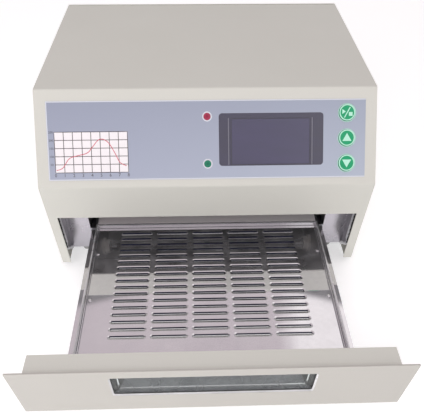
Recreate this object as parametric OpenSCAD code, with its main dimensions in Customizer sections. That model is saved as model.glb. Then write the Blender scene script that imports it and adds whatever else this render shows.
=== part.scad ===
// Infrared reflow oven with a slotted pan on a drawer, shown with the drawer pulled out.
// Millimetres. X runs to the right, Y to the back and Z up. The origin lies under the middle of the
// box round the open oven, on the surface that the feet stand on.

/* [Housing] */
// Width over the side panels
body_w = 310; // [290:1:340]
// Depth from the front face to the rear panel
body_d = 257; // [245:1:300]
// Height of the sheet metal body without its feet
body_h = 162; // [155:1:190]
// How far the sloping control panel runs back
slope_d = 59.3; // [55:0.1:64]
// How far the sloping control panel falls
slope_h = 63.6; // [60:0.1:68]
// Thickness of the housing sheets
sheet_t = 1.2; // [0.8:0.1:1.5]
// Inner radius of the folds in the housing
fold_r = 1.5; // [0.5:0.1:3]
// Width of each front leg beside the drawer mouth
leg_w = 8.7; // [7:0.1:10]
// Height of the drawer mouth
mouth_h = 62.5; // [61:0.1:68]
// Depth of the return flanges that take the screws
flange_d = 14; // [11:1:18]
// Depth of the recess between the front and the bulkhead
recess_d = 23.3; // [21:0.1:28]
// Depth of the ears that join the bulkhead to the side panels
ear_d = 10; // [8:0.5:12]
// Height of the drawer opening's lower edge in the bulkhead
sill_h = 6; // [4:0.5:10]
// Number of cooling slots in each side panel
vent_count = 12; // [4:1:14]
// Length of a cooling slot
vent_l = 24; // [14:1:28]
// Width of a cooling slot
vent_w = 3; // [2:0.5:4]
// Distance between cooling slots
vent_pitch = 8; // [7:0.5:9]

/* [Feet] */
// Diameter of a rubber foot where it meets the body
foot_d = 20; // [16:1:24]
// Height of a rubber foot
foot_h = 8; // [6:0.5:12]
// Distance of a foot's centre from the side
foot_inset = 25.3; // [22:0.1:32]
// Distance of a front foot's centre behind the bulkhead's face
foot_setback = 12; // [11:0.5:20]
// Diameter of the screw in a foot
foot_screw_d = 4; // [3:0.5:4]
// Thickness of the rubber under the body that the screw clamps
foot_seat_h = 3; // [2:0.5:3.5]

/* [Drawer] */
// Travel of the drawer
drawer_travel = 171; // [120:1:172]
// Gap between the drawer's plate and the front when shut
door_gap = 0.2; // [0.1:0.1:1]
// Thickness of the drawer's plate
door_t = 1.2; // [0.8:0.1:1.5]
// Height of the drawer's plate
door_h = 59.8; // [58:0.1:61]
// Height of the plate's lower edge above the body's lower edge
door_lift = 4.5; // [3.5:0.1:6]
// Width of the folded box behind the plate
door_box_w = 284.6; // [270:0.1:287]
// Depth of the folded box behind the plate
door_box_d = 17.2; // [16.5:0.1:18.5]
// Thickness of the folded box
door_box_t = 1; // [0.8:0.1:1.2]
// How far the box stays below the plate's top edge
door_box_drop = 2.8; // [2.6:0.1:4]
// Width of the window
window_w = 160; // [130:1:180]
// Height of the window
window_h = 27.7; // [24:0.1:29]
// Distance from the plate's top edge to the window
window_drop = 9.1; // [8.8:0.1:10]
// Corner radius of the window
window_r = 2.5; // [1:0.1:4]
// Thickness of the window glass
glass_t = 3; // [2:0.5:4]
// How far the glass laps over the edge of the window
glass_lap = 4.5; // [3:0.5:5]
// Width of the slit at the narrow end of the window liner
slit_w = 138; // [110:1:150]
// Height of the slit at the narrow end of the window liner
slit_h = 6; // [4:0.5:9]
// Thickness of the window liner
liner_t = 0.6; // [0.4:0.1:1]
// Thickness of the inner pane
pane_t = 2; // [1.5:0.1:3]
// How far the inner pane laps over the edge of the slit
pane_lap = 4; // [3:0.5:5]

/* [Tray] */
// Width inside the tray
tray_w = 234.6; // [215:0.1:238]
// Length inside the tray
tray_l = 183; // [182:0.5:190]
// Depth of the tray
tray_depth = 5; // [4:0.5:14]
// Thickness of the tray's sheet
tray_t = 1; // [0.6:0.1:1.2]
// Width of the flange along each side of the tray
tray_flange = 4; // [3:0.1:5]
// Depth of the flange behind the tray
tray_tail = 20; // [12:1:21]
// Height of the tray's rim above the body's lower edge
rim_lift = 26; // [23:0.5:29]
// Inner radius of the tray's folds
tray_fold_r = 0.6; // [0.3:0.1:1]
// Number of slot rows
slot_rows = 17; // [8:1:18]
// Number of slots in a row
slot_cols = 5; // [3:1:5]
// Length of a slot
slot_l = 31.2; // [24:0.1:34]
// Width of a slot
slot_w = 2.4; // [1.6:0.1:3]
// Distance between slot rows
slot_row_pitch = 8.25; // [8:0.01:8.6]
// Distance between slot columns
slot_col_pitch = 37.6; // [37.5:0.1:42]
// Distance from the rear wall to the first row of slots
slot_start = 8.7; // [3:0.1:13]
// Diameter of a rivet's head in the tray
rivet_d = 4.4; // [3.4:0.1:5]
// Distance of a rivet from the side wall of the tray
rivet_inset = 4.2; // [2.6:0.1:5]
// Distance from the rear wall to the first rivets
rivet_start = 38; // [20:1:50]
// Distance between the rivets along the tray
rivet_pitch = 61; // [40:1:90]

/* [Rails] */
// Gap between the tray's flange and its rail
rail_gap = 0.4; // [0.3:0.05:0.6]
// Thickness of the rails
rail_t = 1; // [0.8:0.1:1.2]
// Inner radius of the rails' folds
rail_fold_r = 0.2; // [0.1:0.05:0.3]

/* [Chamber] */
// Length of the chamber behind the bulkhead
chamber_l = 202; // [200:1:204]
// Height of the chamber's ceiling above the body's lower edge
chamber_h = 88; // [84:1:92]
// Thickness of the chamber's sheets
chamber_t = 0.8; // [0.6:0.1:1]
// Thickness of the insulation
wool_t = 10; // [8:1:12]
// Height of the chamber floor above the base pan
floor_lift = 5.6; // [4:0.1:8]
// Number of slots in a row of the rear baffle
baffle_cols = 5; // [3:1:6]
// Number of slot rows in the rear baffle
baffle_rows = 4; // [2:1:4]
// Length of a slot in the rear baffle
baffle_l = 16; // [12:1:20]
// Width of a slot in the rear baffle
baffle_w = 4; // [2:0.5:6]
// Distance between slot rows in the rear baffle
baffle_pitch = 14; // [9:0.5:15]
// Metal left between two slots of a row in the rear baffle
baffle_web = 3; // [2:0.5:5]

/* [Heaters] */
// Number of quartz tubes
tube_count = 4; // [2:1:5]
// Outer diameter of a quartz tube
tube_d = 12; // [10:0.5:13]
// Wall of a quartz tube
tube_wall = 1.2; // [1:0.1:1.6]
// Distance between quartz tubes
tube_pitch = 46; // [36:1:48]
// Distance of the tubes' centres below the ceiling
tube_drop = 13; // [12:0.5:14]
// Diameter of a ceramic end cap
cap_d = 16; // [15:0.5:18]
// Height of a ceramic end cap's collar
cap_collar = 2; // [1:0.1:2.5]
// Length of a ceramic end cap
cap_l = 24; // [22:1:26]
// Diameter of a heating coil
coil_d = 6; // [5:0.5:6.5]
// Diameter of a coil's lead
lead_d = 2; // [1.5:0.1:2.5]
// Diameter of a temperature probe
probe_d = 3; // [2:0.5:4]
// Reach of a temperature probe below the ceiling
probe_reach = 22; // [14:1:24]
// Distance of the temperature probes from the middle
probe_x = 41; // [20:1:90]

/* [Control panel] */
// Thickness of the printed overlay
label_t = 0.4; // [0.3:0.1:0.6]
// Width of the printed overlay
label_w = 289; // [285:1:290]
// Height of the printed overlay along the slope
label_h = 69.8; // [68:0.1:71]
// Distance from the fold at the top to the overlay
label_drop = 10.5; // [8:0.1:11.5]
// Distance of the display's centre from the middle
lcd_x = 58.2; // [52:0.1:60]
// Distance of the display's centre down the slope
lcd_s = 45.6; // [44:0.1:47]
// Width of the display's window
lcd_w = 95.4; // [90:0.1:98]
// Height of the display's window
lcd_h = 46.6; // [44:0.1:52]
// Corner radius of the display's window
lcd_r = 3; // [1:0.5:5]
// Width of the cut-out behind the display's window
lcd_cut_w = 76.2; // [74:0.1:82]
// Height of the cut-out behind the display's window
lcd_cut_h = 43; // [42:0.1:43.6]
// Distance of the keys' centres from the middle
key_x = 127.4; // [123:0.1:132]
// Distance of the first key's centre down the slope
key_s = 22.8; // [21:0.1:24]
// Distance between the keys
key_pitch = 22.4; // [21:0.1:23]
// Diameter of a key
key_d = 14.6; // [12:0.1:16]
// Gap round a key
key_gap = 0.3; // [0.2:0.05:0.5]
// Height of a key above the panel's sheet
key_rise = 1.4; // [1.2:0.1:2]
// Travel of a key
key_travel = 0.6; // [0.3:0.1:0.8]
// Distance of the red lamp down the slope
red_s = 25; // [22:0.1:30]
// Distance of the green lamp down the slope
green_s = 66.8; // [62:0.1:68]
// Diameter of a lamp
lamp_d = 6.4; // [5:0.1:8]
// Height of a lamp above the panel's sheet
lamp_rise = 1; // [0.6:0.1:1.5]
// Distance of the control board below the panel's sheet
board_gap = 14; // [13:0.5:15]
// Thickness of the circuit boards
board_t = 1.6; // [1.2:0.2:2]
// Width of the control board
board_w = 170; // [165:1:174]
// Height of the control board along the slope
board_h = 62; // [58:0.5:63]
// Distance of the control board's edge from the right side panel
board_x = 6.8; // [4.8:0.1:8.8]
// Gap between the control board's screws and the insulation
wool_gap = 1; // [0.5:0.1:3]
// Width of a key's switch on the control board
tact_w = 6; // [5:0.5:7]
// Height of a key's switch body
tact_h = 4; // [3:0.5:5]
// Diameter of a key's switch plunger
tact_d = 3.5; // [2.5:0.5:4]
// Distance of the board's fixing holes from its edges
board_inset = 4; // [4:0.5:5]
// Diameter of the board's fixing screws
board_screw_d = 3; // [2:0.5:3]
// Thickness of a key's foot under the panel's sheet
key_foot_t = 1; // [0.6:0.1:1.2]
// Thickness of the display's body
lcd_depth = 7; // [5:0.5:8]
// Width of the display's view
lcd_view_w = 71; // [66:0.1:72]
// Height of the display's view
lcd_view_h = 40; // [36:0.1:41]

/* [Electronics deck] */
// Height of the electronics deck above the insulation
deck_lift = 5.2; // [3.2:0.1:7.2]
// Distance from the fold at the top to the deck's front edge
deck_setback = 4; // [2:0.5:10]
// Gap between the deck's rear edge and the rear flanges
deck_back_gap = 2; // [1:0.5:5]
// Width of the power board
power_w = 130; // [110:1:140]
// Depth of the power board
power_l = 90; // [84:1:110]
// Distance of the power board's centre from the middle
power_x = 40; // [30:1:50]
// How far the power board lies in front of the deck's middle
power_shift = 8; // [0:1:16]
// Distance of the power board's holes from its edges
power_inset = 5; // [4:0.5:6]
// Height of the spacers under the power board
spacer_h = 6; // [4:0.5:10]
// Width of the transformer's laminations
core_w = 48; // [40:1:52]
// Depth of the transformer's laminations
core_d = 28; // [20:1:30]
// Height of the transformer's laminations
core_h = 40; // [34:1:42]
// How far the winding stands out of the laminations
winding_out = 8; // [4:1:10]
// Distance of the transformer's centre from the middle
transformer_x = -85; // [-95:1:-75]
// How far the transformer's foot stands out on each side
core_ear = 6; // [4:0.5:10]
// Thickness of the transformer's foot
core_foot_t = 1.6; // [1:0.2:3]
// Length of the heat sink
sink_l = 64; // [40:1:70]
// Height of the heat sink
sink_h = 34; // [20:1:36]
// Number of fins
fin_count = 8; // [4:1:10]
// Length of a fin
fin_l = 14; // [8:1:16]
// Diameter of a capacitor
capacitor_d = 16; // [10:1:18]
// Height of a capacitor
capacitor_h = 26; // [16:1:30]
// Distance between capacitors
capacitor_pitch = 22; // [19:1:26]
// Height of the terminal block
terminal_h = 14; // [10:0.5:18]
// Depth of the terminal block
terminal_d = 12; // [10:0.5:14]
// Number of ways in the terminal block
terminal_count = 6; // [3:1:7]
// Distance between the ways in the terminal block
terminal_pitch = 10; // [8:0.5:11]

/* [Exhaust fan] */
// Size of the exhaust fan
fan_w = 80; // [76:1:82]
// Depth of the exhaust fan
fan_d = 25; // [20:1:26]
// Height of the fan's centre above the body's lower edge
fan_lift = 50; // [46:1:54]
// Distance between the fan's screws
fan_screw_pitch = 71.5; // [68:0.5:72]
// Clearance of the base pan's rear flange round the fan
fan_notch_gap = 1; // [0.5:0.1:3]
// Length of the fan's screws
fan_screw_l = 22; // [12:1:24]
// Wall of the fan's frame at its bore
fan_wall = 2; // [1.5:0.1:3]
// Thickness of the fan's motor plate
motor_t = 4; // [3:0.5:6]
// Clearance between the fan's blades and its ring
fan_gap = 1.5; // [1:0.1:2]
// Number of blades
blade_count = 7; // [5:1:9]
// Number of rings in the wire guard
guard_rings = 5; // [3:1:5]
// Diameter of the guard's wire
wire_d = 1.8; // [1.4:0.1:2]
// Height of the wire guard above the rear panel
guard_rise = 6.8; // [6.4:0.1:8]
// Diameter of the fan's screws
fan_screw_d = 4; // [3:0.5:4]
// Radius of the fan's hub
fan_hub_r = 16; // [12:0.5:20]
// Gap between the rotor and the motor's plate
hub_gap = 0.5; // [0.3:0.1:1]
// Diameter of the fan's shaft
shaft_d = 3; // [2:0.5:4]
// Clearance round a shaft in its bore
shaft_gap = 0.05; // [0.03:0.01:0.1]
// Angle of the blades to the fan's face
blade_a = 52; // [40:1:60]
// Thickness of a blade
blade_t = 1.6; // [1.2:0.1:2.4]

/* [Rear fittings] */
// Height of the inlet and the switch above the deck
inlet_lift = 24; // [20:1:30]
// Distance of the mains inlet from the middle
inlet_x = -100; // [-110:1:-90]
// Width of the inlet's body
inlet_w = 27; // [26:0.5:28]
// Height of the inlet's body
inlet_h = 20; // [19:0.5:22]
// Depth of the inlet's body
inlet_depth = 24; // [20:1:28]
// Thickness of the inlet's flange
inlet_lip = 1.8; // [1:0.1:3]
// Width of the socket
socket_w = 24; // [22:0.5:24]
// Height of the socket
socket_h = 16.6; // [16:0.1:17]
// Depth of the socket
socket_depth = 16; // [14:0.5:18]
// Width of a contact blade
pin_w = 2; // [1.5:0.1:2.5]
// Height of a contact blade
pin_h = 4; // [3:0.5:4]
// Distance between the two lower blades
pin_pitch = 14; // [13:0.5:15]
// Distance of the rocker switch from the middle
switch_x = -62; // [-66:1:-60]
// Width of the switch's body
switch_w = 16.4; // [15.6:0.1:17]
// Height of the switch's body
switch_h = 22.4; // [21.6:0.1:23]
// Depth of the switch's body
switch_depth = 20; // [16:1:24]
// Thickness of the switch's flange
switch_lip = 1.6; // [1:0.1:2.5]
// Width of the rocker
rocker_w = 12.2; // [10:0.1:12.6]
// Gap round the rocker
rocker_gap = 0.2; // [0.15:0.05:0.3]
// Height of the rocker's middle above the rear panel
rocker_valley = 2; // [1.6:0.1:2.4]
// Distance from the rocker's pivot to its tips
rocker_tip = 8.6; // [7:0.1:9]
// Depth of the rocker below the rear panel
rocker_depth = 7; // [6:0.5:9]
// Diameter of the rocker's pivot
pivot_d = 2; // [1.5:0.1:2.5]
// Travel of the rocker in degrees
rocker_swing = 18; // [12:1:20]

/* [Fasteners] */
// Diameter of the housing screws
screw_d = 3; // [2.5:0.1:3.5]
// Distance of the outer screws from the corners of the rear panel
screw_inset = 20; // [16:1:26]

/* [Hidden] */
$fn = 32;
bend_steps = 4;
skin = 0.1;

top_z = foot_h + body_h;
skirt_z = foot_h;
inner_x = body_w / 2 - sheet_t;
door_reach = drawer_travel + door_gap + door_t;
front_y = door_reach - (door_reach + body_d + guard_rise) / 2;
back_y = front_y + body_d;
slope_top_y = front_y + slope_d;
crease_z = top_z - slope_h;
slope_a = atan2(slope_h, slope_d);
mouth_w = body_w - 2 * leg_w;
mouth_top_z = skirt_z + mouth_h;
bulkhead_y = front_y + recess_d;
bulkhead_back_y = bulkhead_y + sheet_t;
pan_z = skirt_z + sheet_t;
rear_in_y = back_y - sheet_t;
rear_flange_y = rear_in_y - sheet_t;

door_y = front_y - door_reach;
door_back_y = door_y + door_t;
door_z = skirt_z + door_lift;
door_top_z = door_z + door_h;
box_back_y = door_back_y + door_box_d;
box_z = door_z + 1;
box_top_z = door_top_z - door_box_drop;
window_z = door_top_z - window_drop - window_h / 2;
glass_back_y = door_back_y + glass_t;
pane_y = box_back_y - door_box_t - pane_t;

rim_z = skirt_z + rim_lift;
floor_z = rim_z - tray_depth;
tray_back_y = box_back_y + tray_l;
slot_y = tray_back_y - slot_start;
flange_x = tray_w / 2 + tray_t + tray_flange;
rail_x = flange_x + rail_gap;

chamber_back_y = bulkhead_back_y + chamber_l;
ceiling_z = skirt_z + chamber_h;
wall_x = rail_x + rail_t;
plate_z = pan_z + floor_lift;
bulkhead_top_z = ceiling_z + chamber_t;
wool_top_z = bulkhead_top_z + wool_t;
wool_x = wall_x + chamber_t + wool_t;
tube_z = ceiling_z - tube_drop;
tube_first_y = bulkhead_back_y + chamber_l / 2 - (tube_count - 1) * tube_pitch / 2;
cap_in_x = wall_x - cap_l / 3;
cap_out_x = cap_in_x + cap_l;
tube_end_x = cap_out_x - cap_l / 3;
probe_y = tube_first_y + tube_pitch / 2;

deck_z = wool_top_z + deck_lift;
deck_y = slope_top_y + deck_setback;
deck_back_y = rear_flange_y - deck_back_gap;
power_y = (deck_y + deck_back_y) / 2 - power_shift;
power_z = deck_z + sheet_t + spacer_h;
power_top_z = power_z + board_t;
fan_z = skirt_z + fan_lift;
fan_y = rear_in_y - fan_d;
fan_bore_r = fan_w / 2 - fan_wall;
motor_y = rear_in_y - motor_t;
rotor_back_y = motor_y - hub_gap;
inlet_z = deck_z + inlet_lift;
inlet_chamfer = inlet_h / 4;
vent_z = (deck_z + top_z) / 2;

key_hole_d = key_d + 2 * key_gap;
key_foot_n = -sheet_t - skin - key_foot_t;
board_n = -sheet_t - board_gap;
board_middle_x = inner_x - board_x - board_w / 2;
stud_head_h = 0.8 * board_screw_d;
header_pitch = 2.54;
header_count = 20;
lcd_front_n = -sheet_t - 0.3;
lcd_back_n = lcd_front_n - lcd_depth;
pin_spots = [[-pin_pitch / 2, -pin_h / 2], [pin_pitch / 2, -pin_h / 2], [0, pin_h * 3 / 4]];
rocker_rise = rocker_tip * tan(rocker_swing / 2);
rocker_r = norm([rocker_valley + rocker_rise, rocker_tip]);

// Extrusions of a drawn outline along each axis, from one coordinate to another.
module along_x(from, to) translate([from, 0, 0]) rotate([90, 0, 90]) linear_extrude(to - from) children();
module along_y(from, to) translate([0, to, 0]) rotate([90, 0, 0]) linear_extrude(to - from) children();
module along_z(from, to) translate([0, 0, from]) linear_extrude(to - from) children();
module rod_x(from, to, d) translate([from, 0, 0]) rotate([0, 90, 0]) cylinder(h = to - from, d = d);
module rod_y(from, to, d) translate([0, to, 0]) rotate([90, 0, 0]) cylinder(h = to - from, d = d);
module block(from, to) translate(from) cube(to - from);
module both_sides() { children(); mirror([1, 0, 0]) children(); }

// Places on the sloping panel: x from the middle, s down the slope, local Z out of the panel.
module on_slope(x = 0, s = 0) {
    translate([0, slope_top_y, top_z]) rotate([slope_a, 0, 0]) translate([x, -s, 0]) children();
}

// Flat outlines.
module rounded_square(w, h, r) {
    square([w - 2 * r, h], center = true);
    square([w, h - 2 * r], center = true);
    for (x = [-1, 1], y = [-1, 1]) translate([x * (w / 2 - r), y * (h / 2 - r)]) circle(r);
}
module slot_outline(l, w) {
    square([l - w, w], center = true);
    for (x = [-1, 1]) translate([x * (l - w) / 2, 0]) circle(d = w);
}
module chamfered(w, h, c) {
    polygon([[-w / 2, -h / 2], [w / 2, -h / 2], [w / 2, h / 2 - c], [w / 2 - c, h / 2],
        [c - w / 2, h / 2], [-w / 2, h / 2 - c]]);
}

// A folded sheet is drawn as the path of one face, with arcs at its folds and its thickness to the left.
function unit(v) = v / norm(v);
function left(v) = [-v[1], v[0]];
function turned(v, a) = [v[0] * cos(a) - v[1] * sin(a), v[0] * sin(a) + v[1] * cos(a)];
function step_in(p, i) = unit(p[i] - p[i - 1]);
function turn_sign(p, i) = sign(step_in(p, i) * -left(step_in(p, i + 1)));
function shifted(p, i, t) =
    i == 0 ? p[0] + t * left(step_in(p, 1)) :
    i == len(p) - 1 ? p[i] + t * left(step_in(p, i)) :
    let (a = left(step_in(p, i)), b = left(step_in(p, i + 1))) p[i] + t * (a + b) / (1 + a * b);
function offset_path(p, t) = [for (i = [0:len(p) - 1]) shifted(p, i, t)];
function arc_at(p, i, r) =
    let (u = step_in(p, i), v = step_in(p, i + 1), s = turn_sign(p, i), turn = acos(u * v),
        centre = p[i] - u * r * tan(turn / 2) + s * r * left(u))
    [for (k = [0:bend_steps]) centre - s * r * turned(left(u), s * turn * k / bend_steps)];
function face_path(p, r_left, r_right) =
    concat([p[0]], [for (i = [1:1:len(p) - 2]) each arc_at(p, i, turn_sign(p, i) > 0 ? r_left : r_right)],
        [p[len(p) - 1]]);
function reversed(p) = [for (i = [len(p) - 1:-1:0]) p[i]];
module folded(path, t, r) {
    polygon(concat(face_path(path, r + t, r), reversed(face_path(offset_path(path, t), r, r + t))));
}

// Screws and rivets.
module pan_screw_y(at, head_d, head_h, d, l) {
    translate([at[0], at[1], at[2]]) {
        rod_y(0, head_h, head_d);
        rod_y(-l, skin, d);
    }
}
module flush_screw_x(x, y, z) {
    translate([x, y, z]) rotate([0, -90, 0]) {
        cylinder(h = sheet_t, d1 = 2 * screw_d, d2 = screw_d);
        cylinder(h = 3 * sheet_t, d = screw_d);
    }
}
module flush_hole_x(x, y, z) {
    translate([x, y, z]) rotate([0, -90, 0]) cylinder(h = sheet_t, d1 = 2 * screw_d, d2 = screw_d);
}

// Each screw line along a side has a screw near both ends and one in the middle.
function screw_line(from, to, z) =
    [for (y = [from + screw_inset, (from + to) / 2, to - screw_inset]) [y, z]];
side_screw_spots = concat(screw_line(bulkhead_back_y, rear_in_y, pan_z + flange_d / 2),
    screw_line(deck_y, deck_back_y, deck_z + sheet_t + flange_d / 2));
rear_screw_spots = [for (x = [-1, -0.4, 0.4, 1], z = [pan_z + flange_d / 2, top_z - flange_d / 2])
    [x * (inner_x - screw_inset), z]];
fan_screw_spots = [for (x = [-1, 1], z = [-1, 1])
    [x * fan_screw_pitch / 2, fan_z + z * fan_screw_pitch / 2]];
foot_spots = [for (x = [-1, 1], y = [bulkhead_y + foot_setback, back_y - foot_inset])
    [x * (body_w / 2 - foot_inset), y]];
spacer_spots = [for (x = [-1, 1], y = [-1, 1])
    [power_x + x * (power_w / 2 - power_inset), power_y + y * (power_l / 2 - power_inset)]];
rivet_spots = [for (x = [-1, 1], i = [0:1])
    [x * (tray_w / 2 - rivet_inset), tray_back_y - rivet_start - i * rivet_pitch]];

// Housing
shell_path = [[rear_in_y, top_z - flange_d], [rear_in_y, top_z], [slope_top_y, top_z], [front_y, crease_z],
    [front_y, skirt_z]];

module top_front_shell() color([0.78, 0.76, 0.72]) difference() {
    along_x(-inner_x, inner_x) folded(shell_path, sheet_t, fold_r);
    block([-mouth_w / 2, front_y - 1, skirt_z - 1], [mouth_w / 2, front_y + sheet_t + 1, mouth_top_z]);
    on_slope(lcd_x, lcd_s) along_z(-2 * sheet_t, 1) square([lcd_cut_w, lcd_cut_h], center = true);
    for (i = [0:2]) on_slope(key_x, key_s + i * key_pitch) translate([0, 0, -2 * sheet_t]) {
        cylinder(h = 3 * sheet_t, d = key_hole_d);
    }
    for (s = [red_s, green_s]) on_slope(0, s) translate([0, 0, -2 * sheet_t]) {
        cylinder(h = 3 * sheet_t, d = lamp_d + 2 * skin);
    }
    for (spot = rear_screw_spots) if (spot[1] > deck_z) translate([spot[0], 0, spot[1]]) {
        rod_y(rear_in_y - 2 * sheet_t, back_y, screw_d);
    }
}

// The outline of a side panel follows the shell's folds.
module side_outline() {
    outline = [[back_y, top_z], [slope_top_y, top_z], [front_y, crease_z], [front_y, skirt_z]];
    polygon(concat(face_path(outline, fold_r + sheet_t, fold_r), [[back_y, skirt_z]]));
}
module side_panel() difference() {
    along_x(inner_x, body_w / 2) side_outline();
    for (i = [0:vent_count - 1]) {
        translate([0, deck_back_y - vent_l - i * vent_pitch, vent_z]) rotate([90, 0, 90]) {
            linear_extrude(body_w) rotate(90) slot_outline(vent_l, vent_w);
        }
    }
    for (spot = side_screw_spots) flush_hole_x(body_w / 2, spot[0], spot[1]);
}
module side_panel_left() color([0.8, 0.78, 0.74]) mirror([1, 0, 0]) side_panel();
module side_panel_right() color([0.8, 0.78, 0.74]) side_panel();

module rear_panel() color([0.76, 0.74, 0.7]) difference() {
    block([-inner_x, rear_in_y, skirt_z], [inner_x, back_y, top_z]);
    translate([0, 0, fan_z]) rod_y(rear_in_y - 1, back_y + 1, 2 * fan_bore_r);
    for (spot = rear_screw_spots) translate([spot[0], 0, spot[1]]) {
        rod_y(rear_in_y - 1, back_y + 1, screw_d);
    }
    for (spot = fan_screw_spots) translate([spot[0], 0, spot[1]]) {
        rod_y(rear_in_y - 1, back_y + 1, fan_screw_d);
    }
    translate([inlet_x, 0, inlet_z]) along_y(rear_in_y - 1, back_y + 1) {
        chamfered(inlet_w, inlet_h, inlet_chamfer);
    }
    translate([switch_x, 0, inlet_z]) along_y(rear_in_y - 1, back_y + 1) {
        square([switch_w, switch_h], center = true);
    }
}

module base_pan() color([0.74, 0.73, 0.72]) difference() {
    union() {
        along_y(bulkhead_back_y, rear_in_y) {
            folded([[-inner_x, pan_z + flange_d], [-inner_x, skirt_z], [inner_x, skirt_z],
                [inner_x, pan_z + flange_d]], sheet_t, fold_r);
        }
        block([flange_d - inner_x, rear_flange_y, skirt_z],
            [inner_x - flange_d, rear_in_y, pan_z + flange_d]);
    }
    block([-fan_w / 2 - fan_notch_gap, rear_flange_y - skin, fan_z - fan_w / 2 - fan_notch_gap],
        [fan_w / 2 + fan_notch_gap, rear_in_y + skin, fan_z]);
    for (spot = foot_spots) translate([spot[0], spot[1], skirt_z - 1]) {
        cylinder(h = 4 * sheet_t, d = foot_screw_d);
    }
    for (spot = side_screw_spots) if (spot[1] < deck_z) both_sides() translate([0, spot[0], spot[1]]) {
        rod_x(inner_x - 2 * sheet_t, body_w / 2, screw_d);
    }
    for (spot = rear_screw_spots) if (spot[1] < deck_z) translate([spot[0], 0, spot[1]]) {
        rod_y(rear_in_y - 2 * sheet_t, back_y, screw_d);
    }
}

// The cross wall behind the legs, with the opening that the tray slides through.
module front_bulkhead() color([0.72, 0.71, 0.74]) difference() {
    ear_y = bulkhead_back_y - ear_d;
    along_z(skirt_z, bulkhead_top_z) {
        folded([[inner_x, ear_y], [inner_x, bulkhead_back_y], [-inner_x, bulkhead_back_y],
            [-inner_x, ear_y]], sheet_t, fold_r);
    }
    block([-wall_x, bulkhead_y - 1, skirt_z + sill_h], [wall_x, bulkhead_back_y + 1, mouth_top_z]);
}

// A rubber foot with a counterbore, held by a screw and its nut.
foot_head_h = 0.6 * foot_screw_d;
foot_nut_h = 0.75 * foot_screw_d;
module rubber_feet() color([0.62, 0.62, 0.61]) for (spot = foot_spots) translate(spot) difference() {
    rotate_extrude() polygon([[0, 0], [foot_d / 2 - 2.5, 0], [foot_d / 2 - 1.7, 0.6], [foot_d / 2, foot_h],
        [0, foot_h]]);
    translate([0, 0, -1]) cylinder(h = foot_h - foot_seat_h + 1, d = 2 * foot_screw_d + 2);
    cylinder(h = foot_h + 1, d = foot_screw_d);
}
module foot_screws() color([0.6, 0.6, 0.62]) for (spot = foot_spots) translate([spot[0], spot[1], 0]) {
    translate([0, 0, foot_h - foot_seat_h - foot_head_h]) cylinder(h = foot_head_h, d = 2 * foot_screw_d);
    translate([0, 0, foot_h - foot_seat_h - skin]) {
        cylinder(h = foot_seat_h + skin + sheet_t + foot_nut_h + 0.5, d = foot_screw_d);
    }
    translate([0, 0, pan_z]) cylinder(h = foot_nut_h, d = 1.8 * foot_screw_d, $fn = 6);
}

module side_screws() color([0.62, 0.62, 0.64]) for (spot = side_screw_spots) both_sides() {
    flush_screw_x(body_w / 2, spot[0], spot[1]);
}
module rear_screws() color([0.62, 0.62, 0.64]) for (spot = rear_screw_spots) {
    pan_screw_y([spot[0], back_y, spot[1]], 2 * screw_d, 0.7 * screw_d, screw_d, 8);
}

// Rails: each is a channel that opens towards the tray and holds its flange.
module rail() color([0.7, 0.71, 0.73]) {
    lip_x = tray_w / 2 + tray_t + rail_gap;
    low_z = rim_z - tray_t - rail_gap - rail_t;
    high_z = rim_z + rail_gap + rail_t;
    along_y(bulkhead_y, chamber_back_y) {
        folded([[lip_x, low_z], [wall_x, low_z], [wall_x, high_z], [lip_x, high_z]], rail_t, rail_fold_r);
    }
}
module rail_left() mirror([1, 0, 0]) rail();
module rail_right() rail();

// Heating chamber
module cap_holes(d) for (i = [0:tube_count - 1]) both_sides() {
    translate([0, tube_first_y + i * tube_pitch, tube_z]) rod_x(cap_in_x, wool_x + 1, d);
}
module probe_holes(d) both_sides() translate([probe_x, probe_y, ceiling_z - 1]) {
    cylinder(h = wool_t + 4, d = d);
}

module chamber_shell() color([0.78, 0.79, 0.8]) difference() {
    along_y(bulkhead_back_y, chamber_back_y) {
        folded([[wall_x + chamber_t, pan_z], [wall_x + chamber_t, bulkhead_top_z],
            [-wall_x - chamber_t, bulkhead_top_z], [-wall_x - chamber_t, pan_z]], chamber_t, 1);
    }
    cap_holes(cap_d);
    probe_holes(probe_d);
}
module chamber_floor() color([0.76, 0.77, 0.78]) {
    along_y(bulkhead_back_y + 1, chamber_back_y - 1) {
        folded([[wall_x - 1, pan_z], [wall_x - 1, plate_z], [1 - wall_x, plate_z], [1 - wall_x, pan_z]],
            chamber_t, 1);
    }
}
module rear_baffle() color([0.76, 0.77, 0.78]) difference() {
    block([-wool_x, chamber_back_y, pan_z], [wool_x, chamber_back_y + chamber_t, wool_top_z]);
    for (col = [0:baffle_cols - 1], row = [0:baffle_rows - 1]) {
        translate([(col - (baffle_cols - 1) / 2) * (baffle_l + baffle_web), 0,
            fan_z + (row - (baffle_rows - 1) / 2) * baffle_pitch]) {
            along_y(chamber_back_y - 1, chamber_back_y + 2) slot_outline(baffle_l, baffle_w);
        }
    }
}

// The blanket lies over the chamber's roof and hangs down both sides to the level of its floor.
// Its front edge is trimmed parallel to the sloping panel, clear of the control board's screws.
module insulation_wool() color([0.93, 0.91, 0.86]) difference() {
    shell_x = wall_x + chamber_t;
    trim_n = board_n - board_t - stud_head_h - wool_gap;
    along_y(bulkhead_back_y, chamber_back_y) {
        polygon([[-wool_x, plate_z], [-wool_x, wool_top_z], [wool_x, wool_top_z], [wool_x, plate_z],
            [shell_x, plate_z], [shell_x, bulkhead_top_z], [-shell_x, bulkhead_top_z], [-shell_x, plate_z]]);
    }
    on_slope() block([-body_w, -2 * slope_h, trim_n], [body_w, slope_h, slope_h]);
    cap_holes(cap_d);
    probe_holes(probe_d);
}

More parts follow.
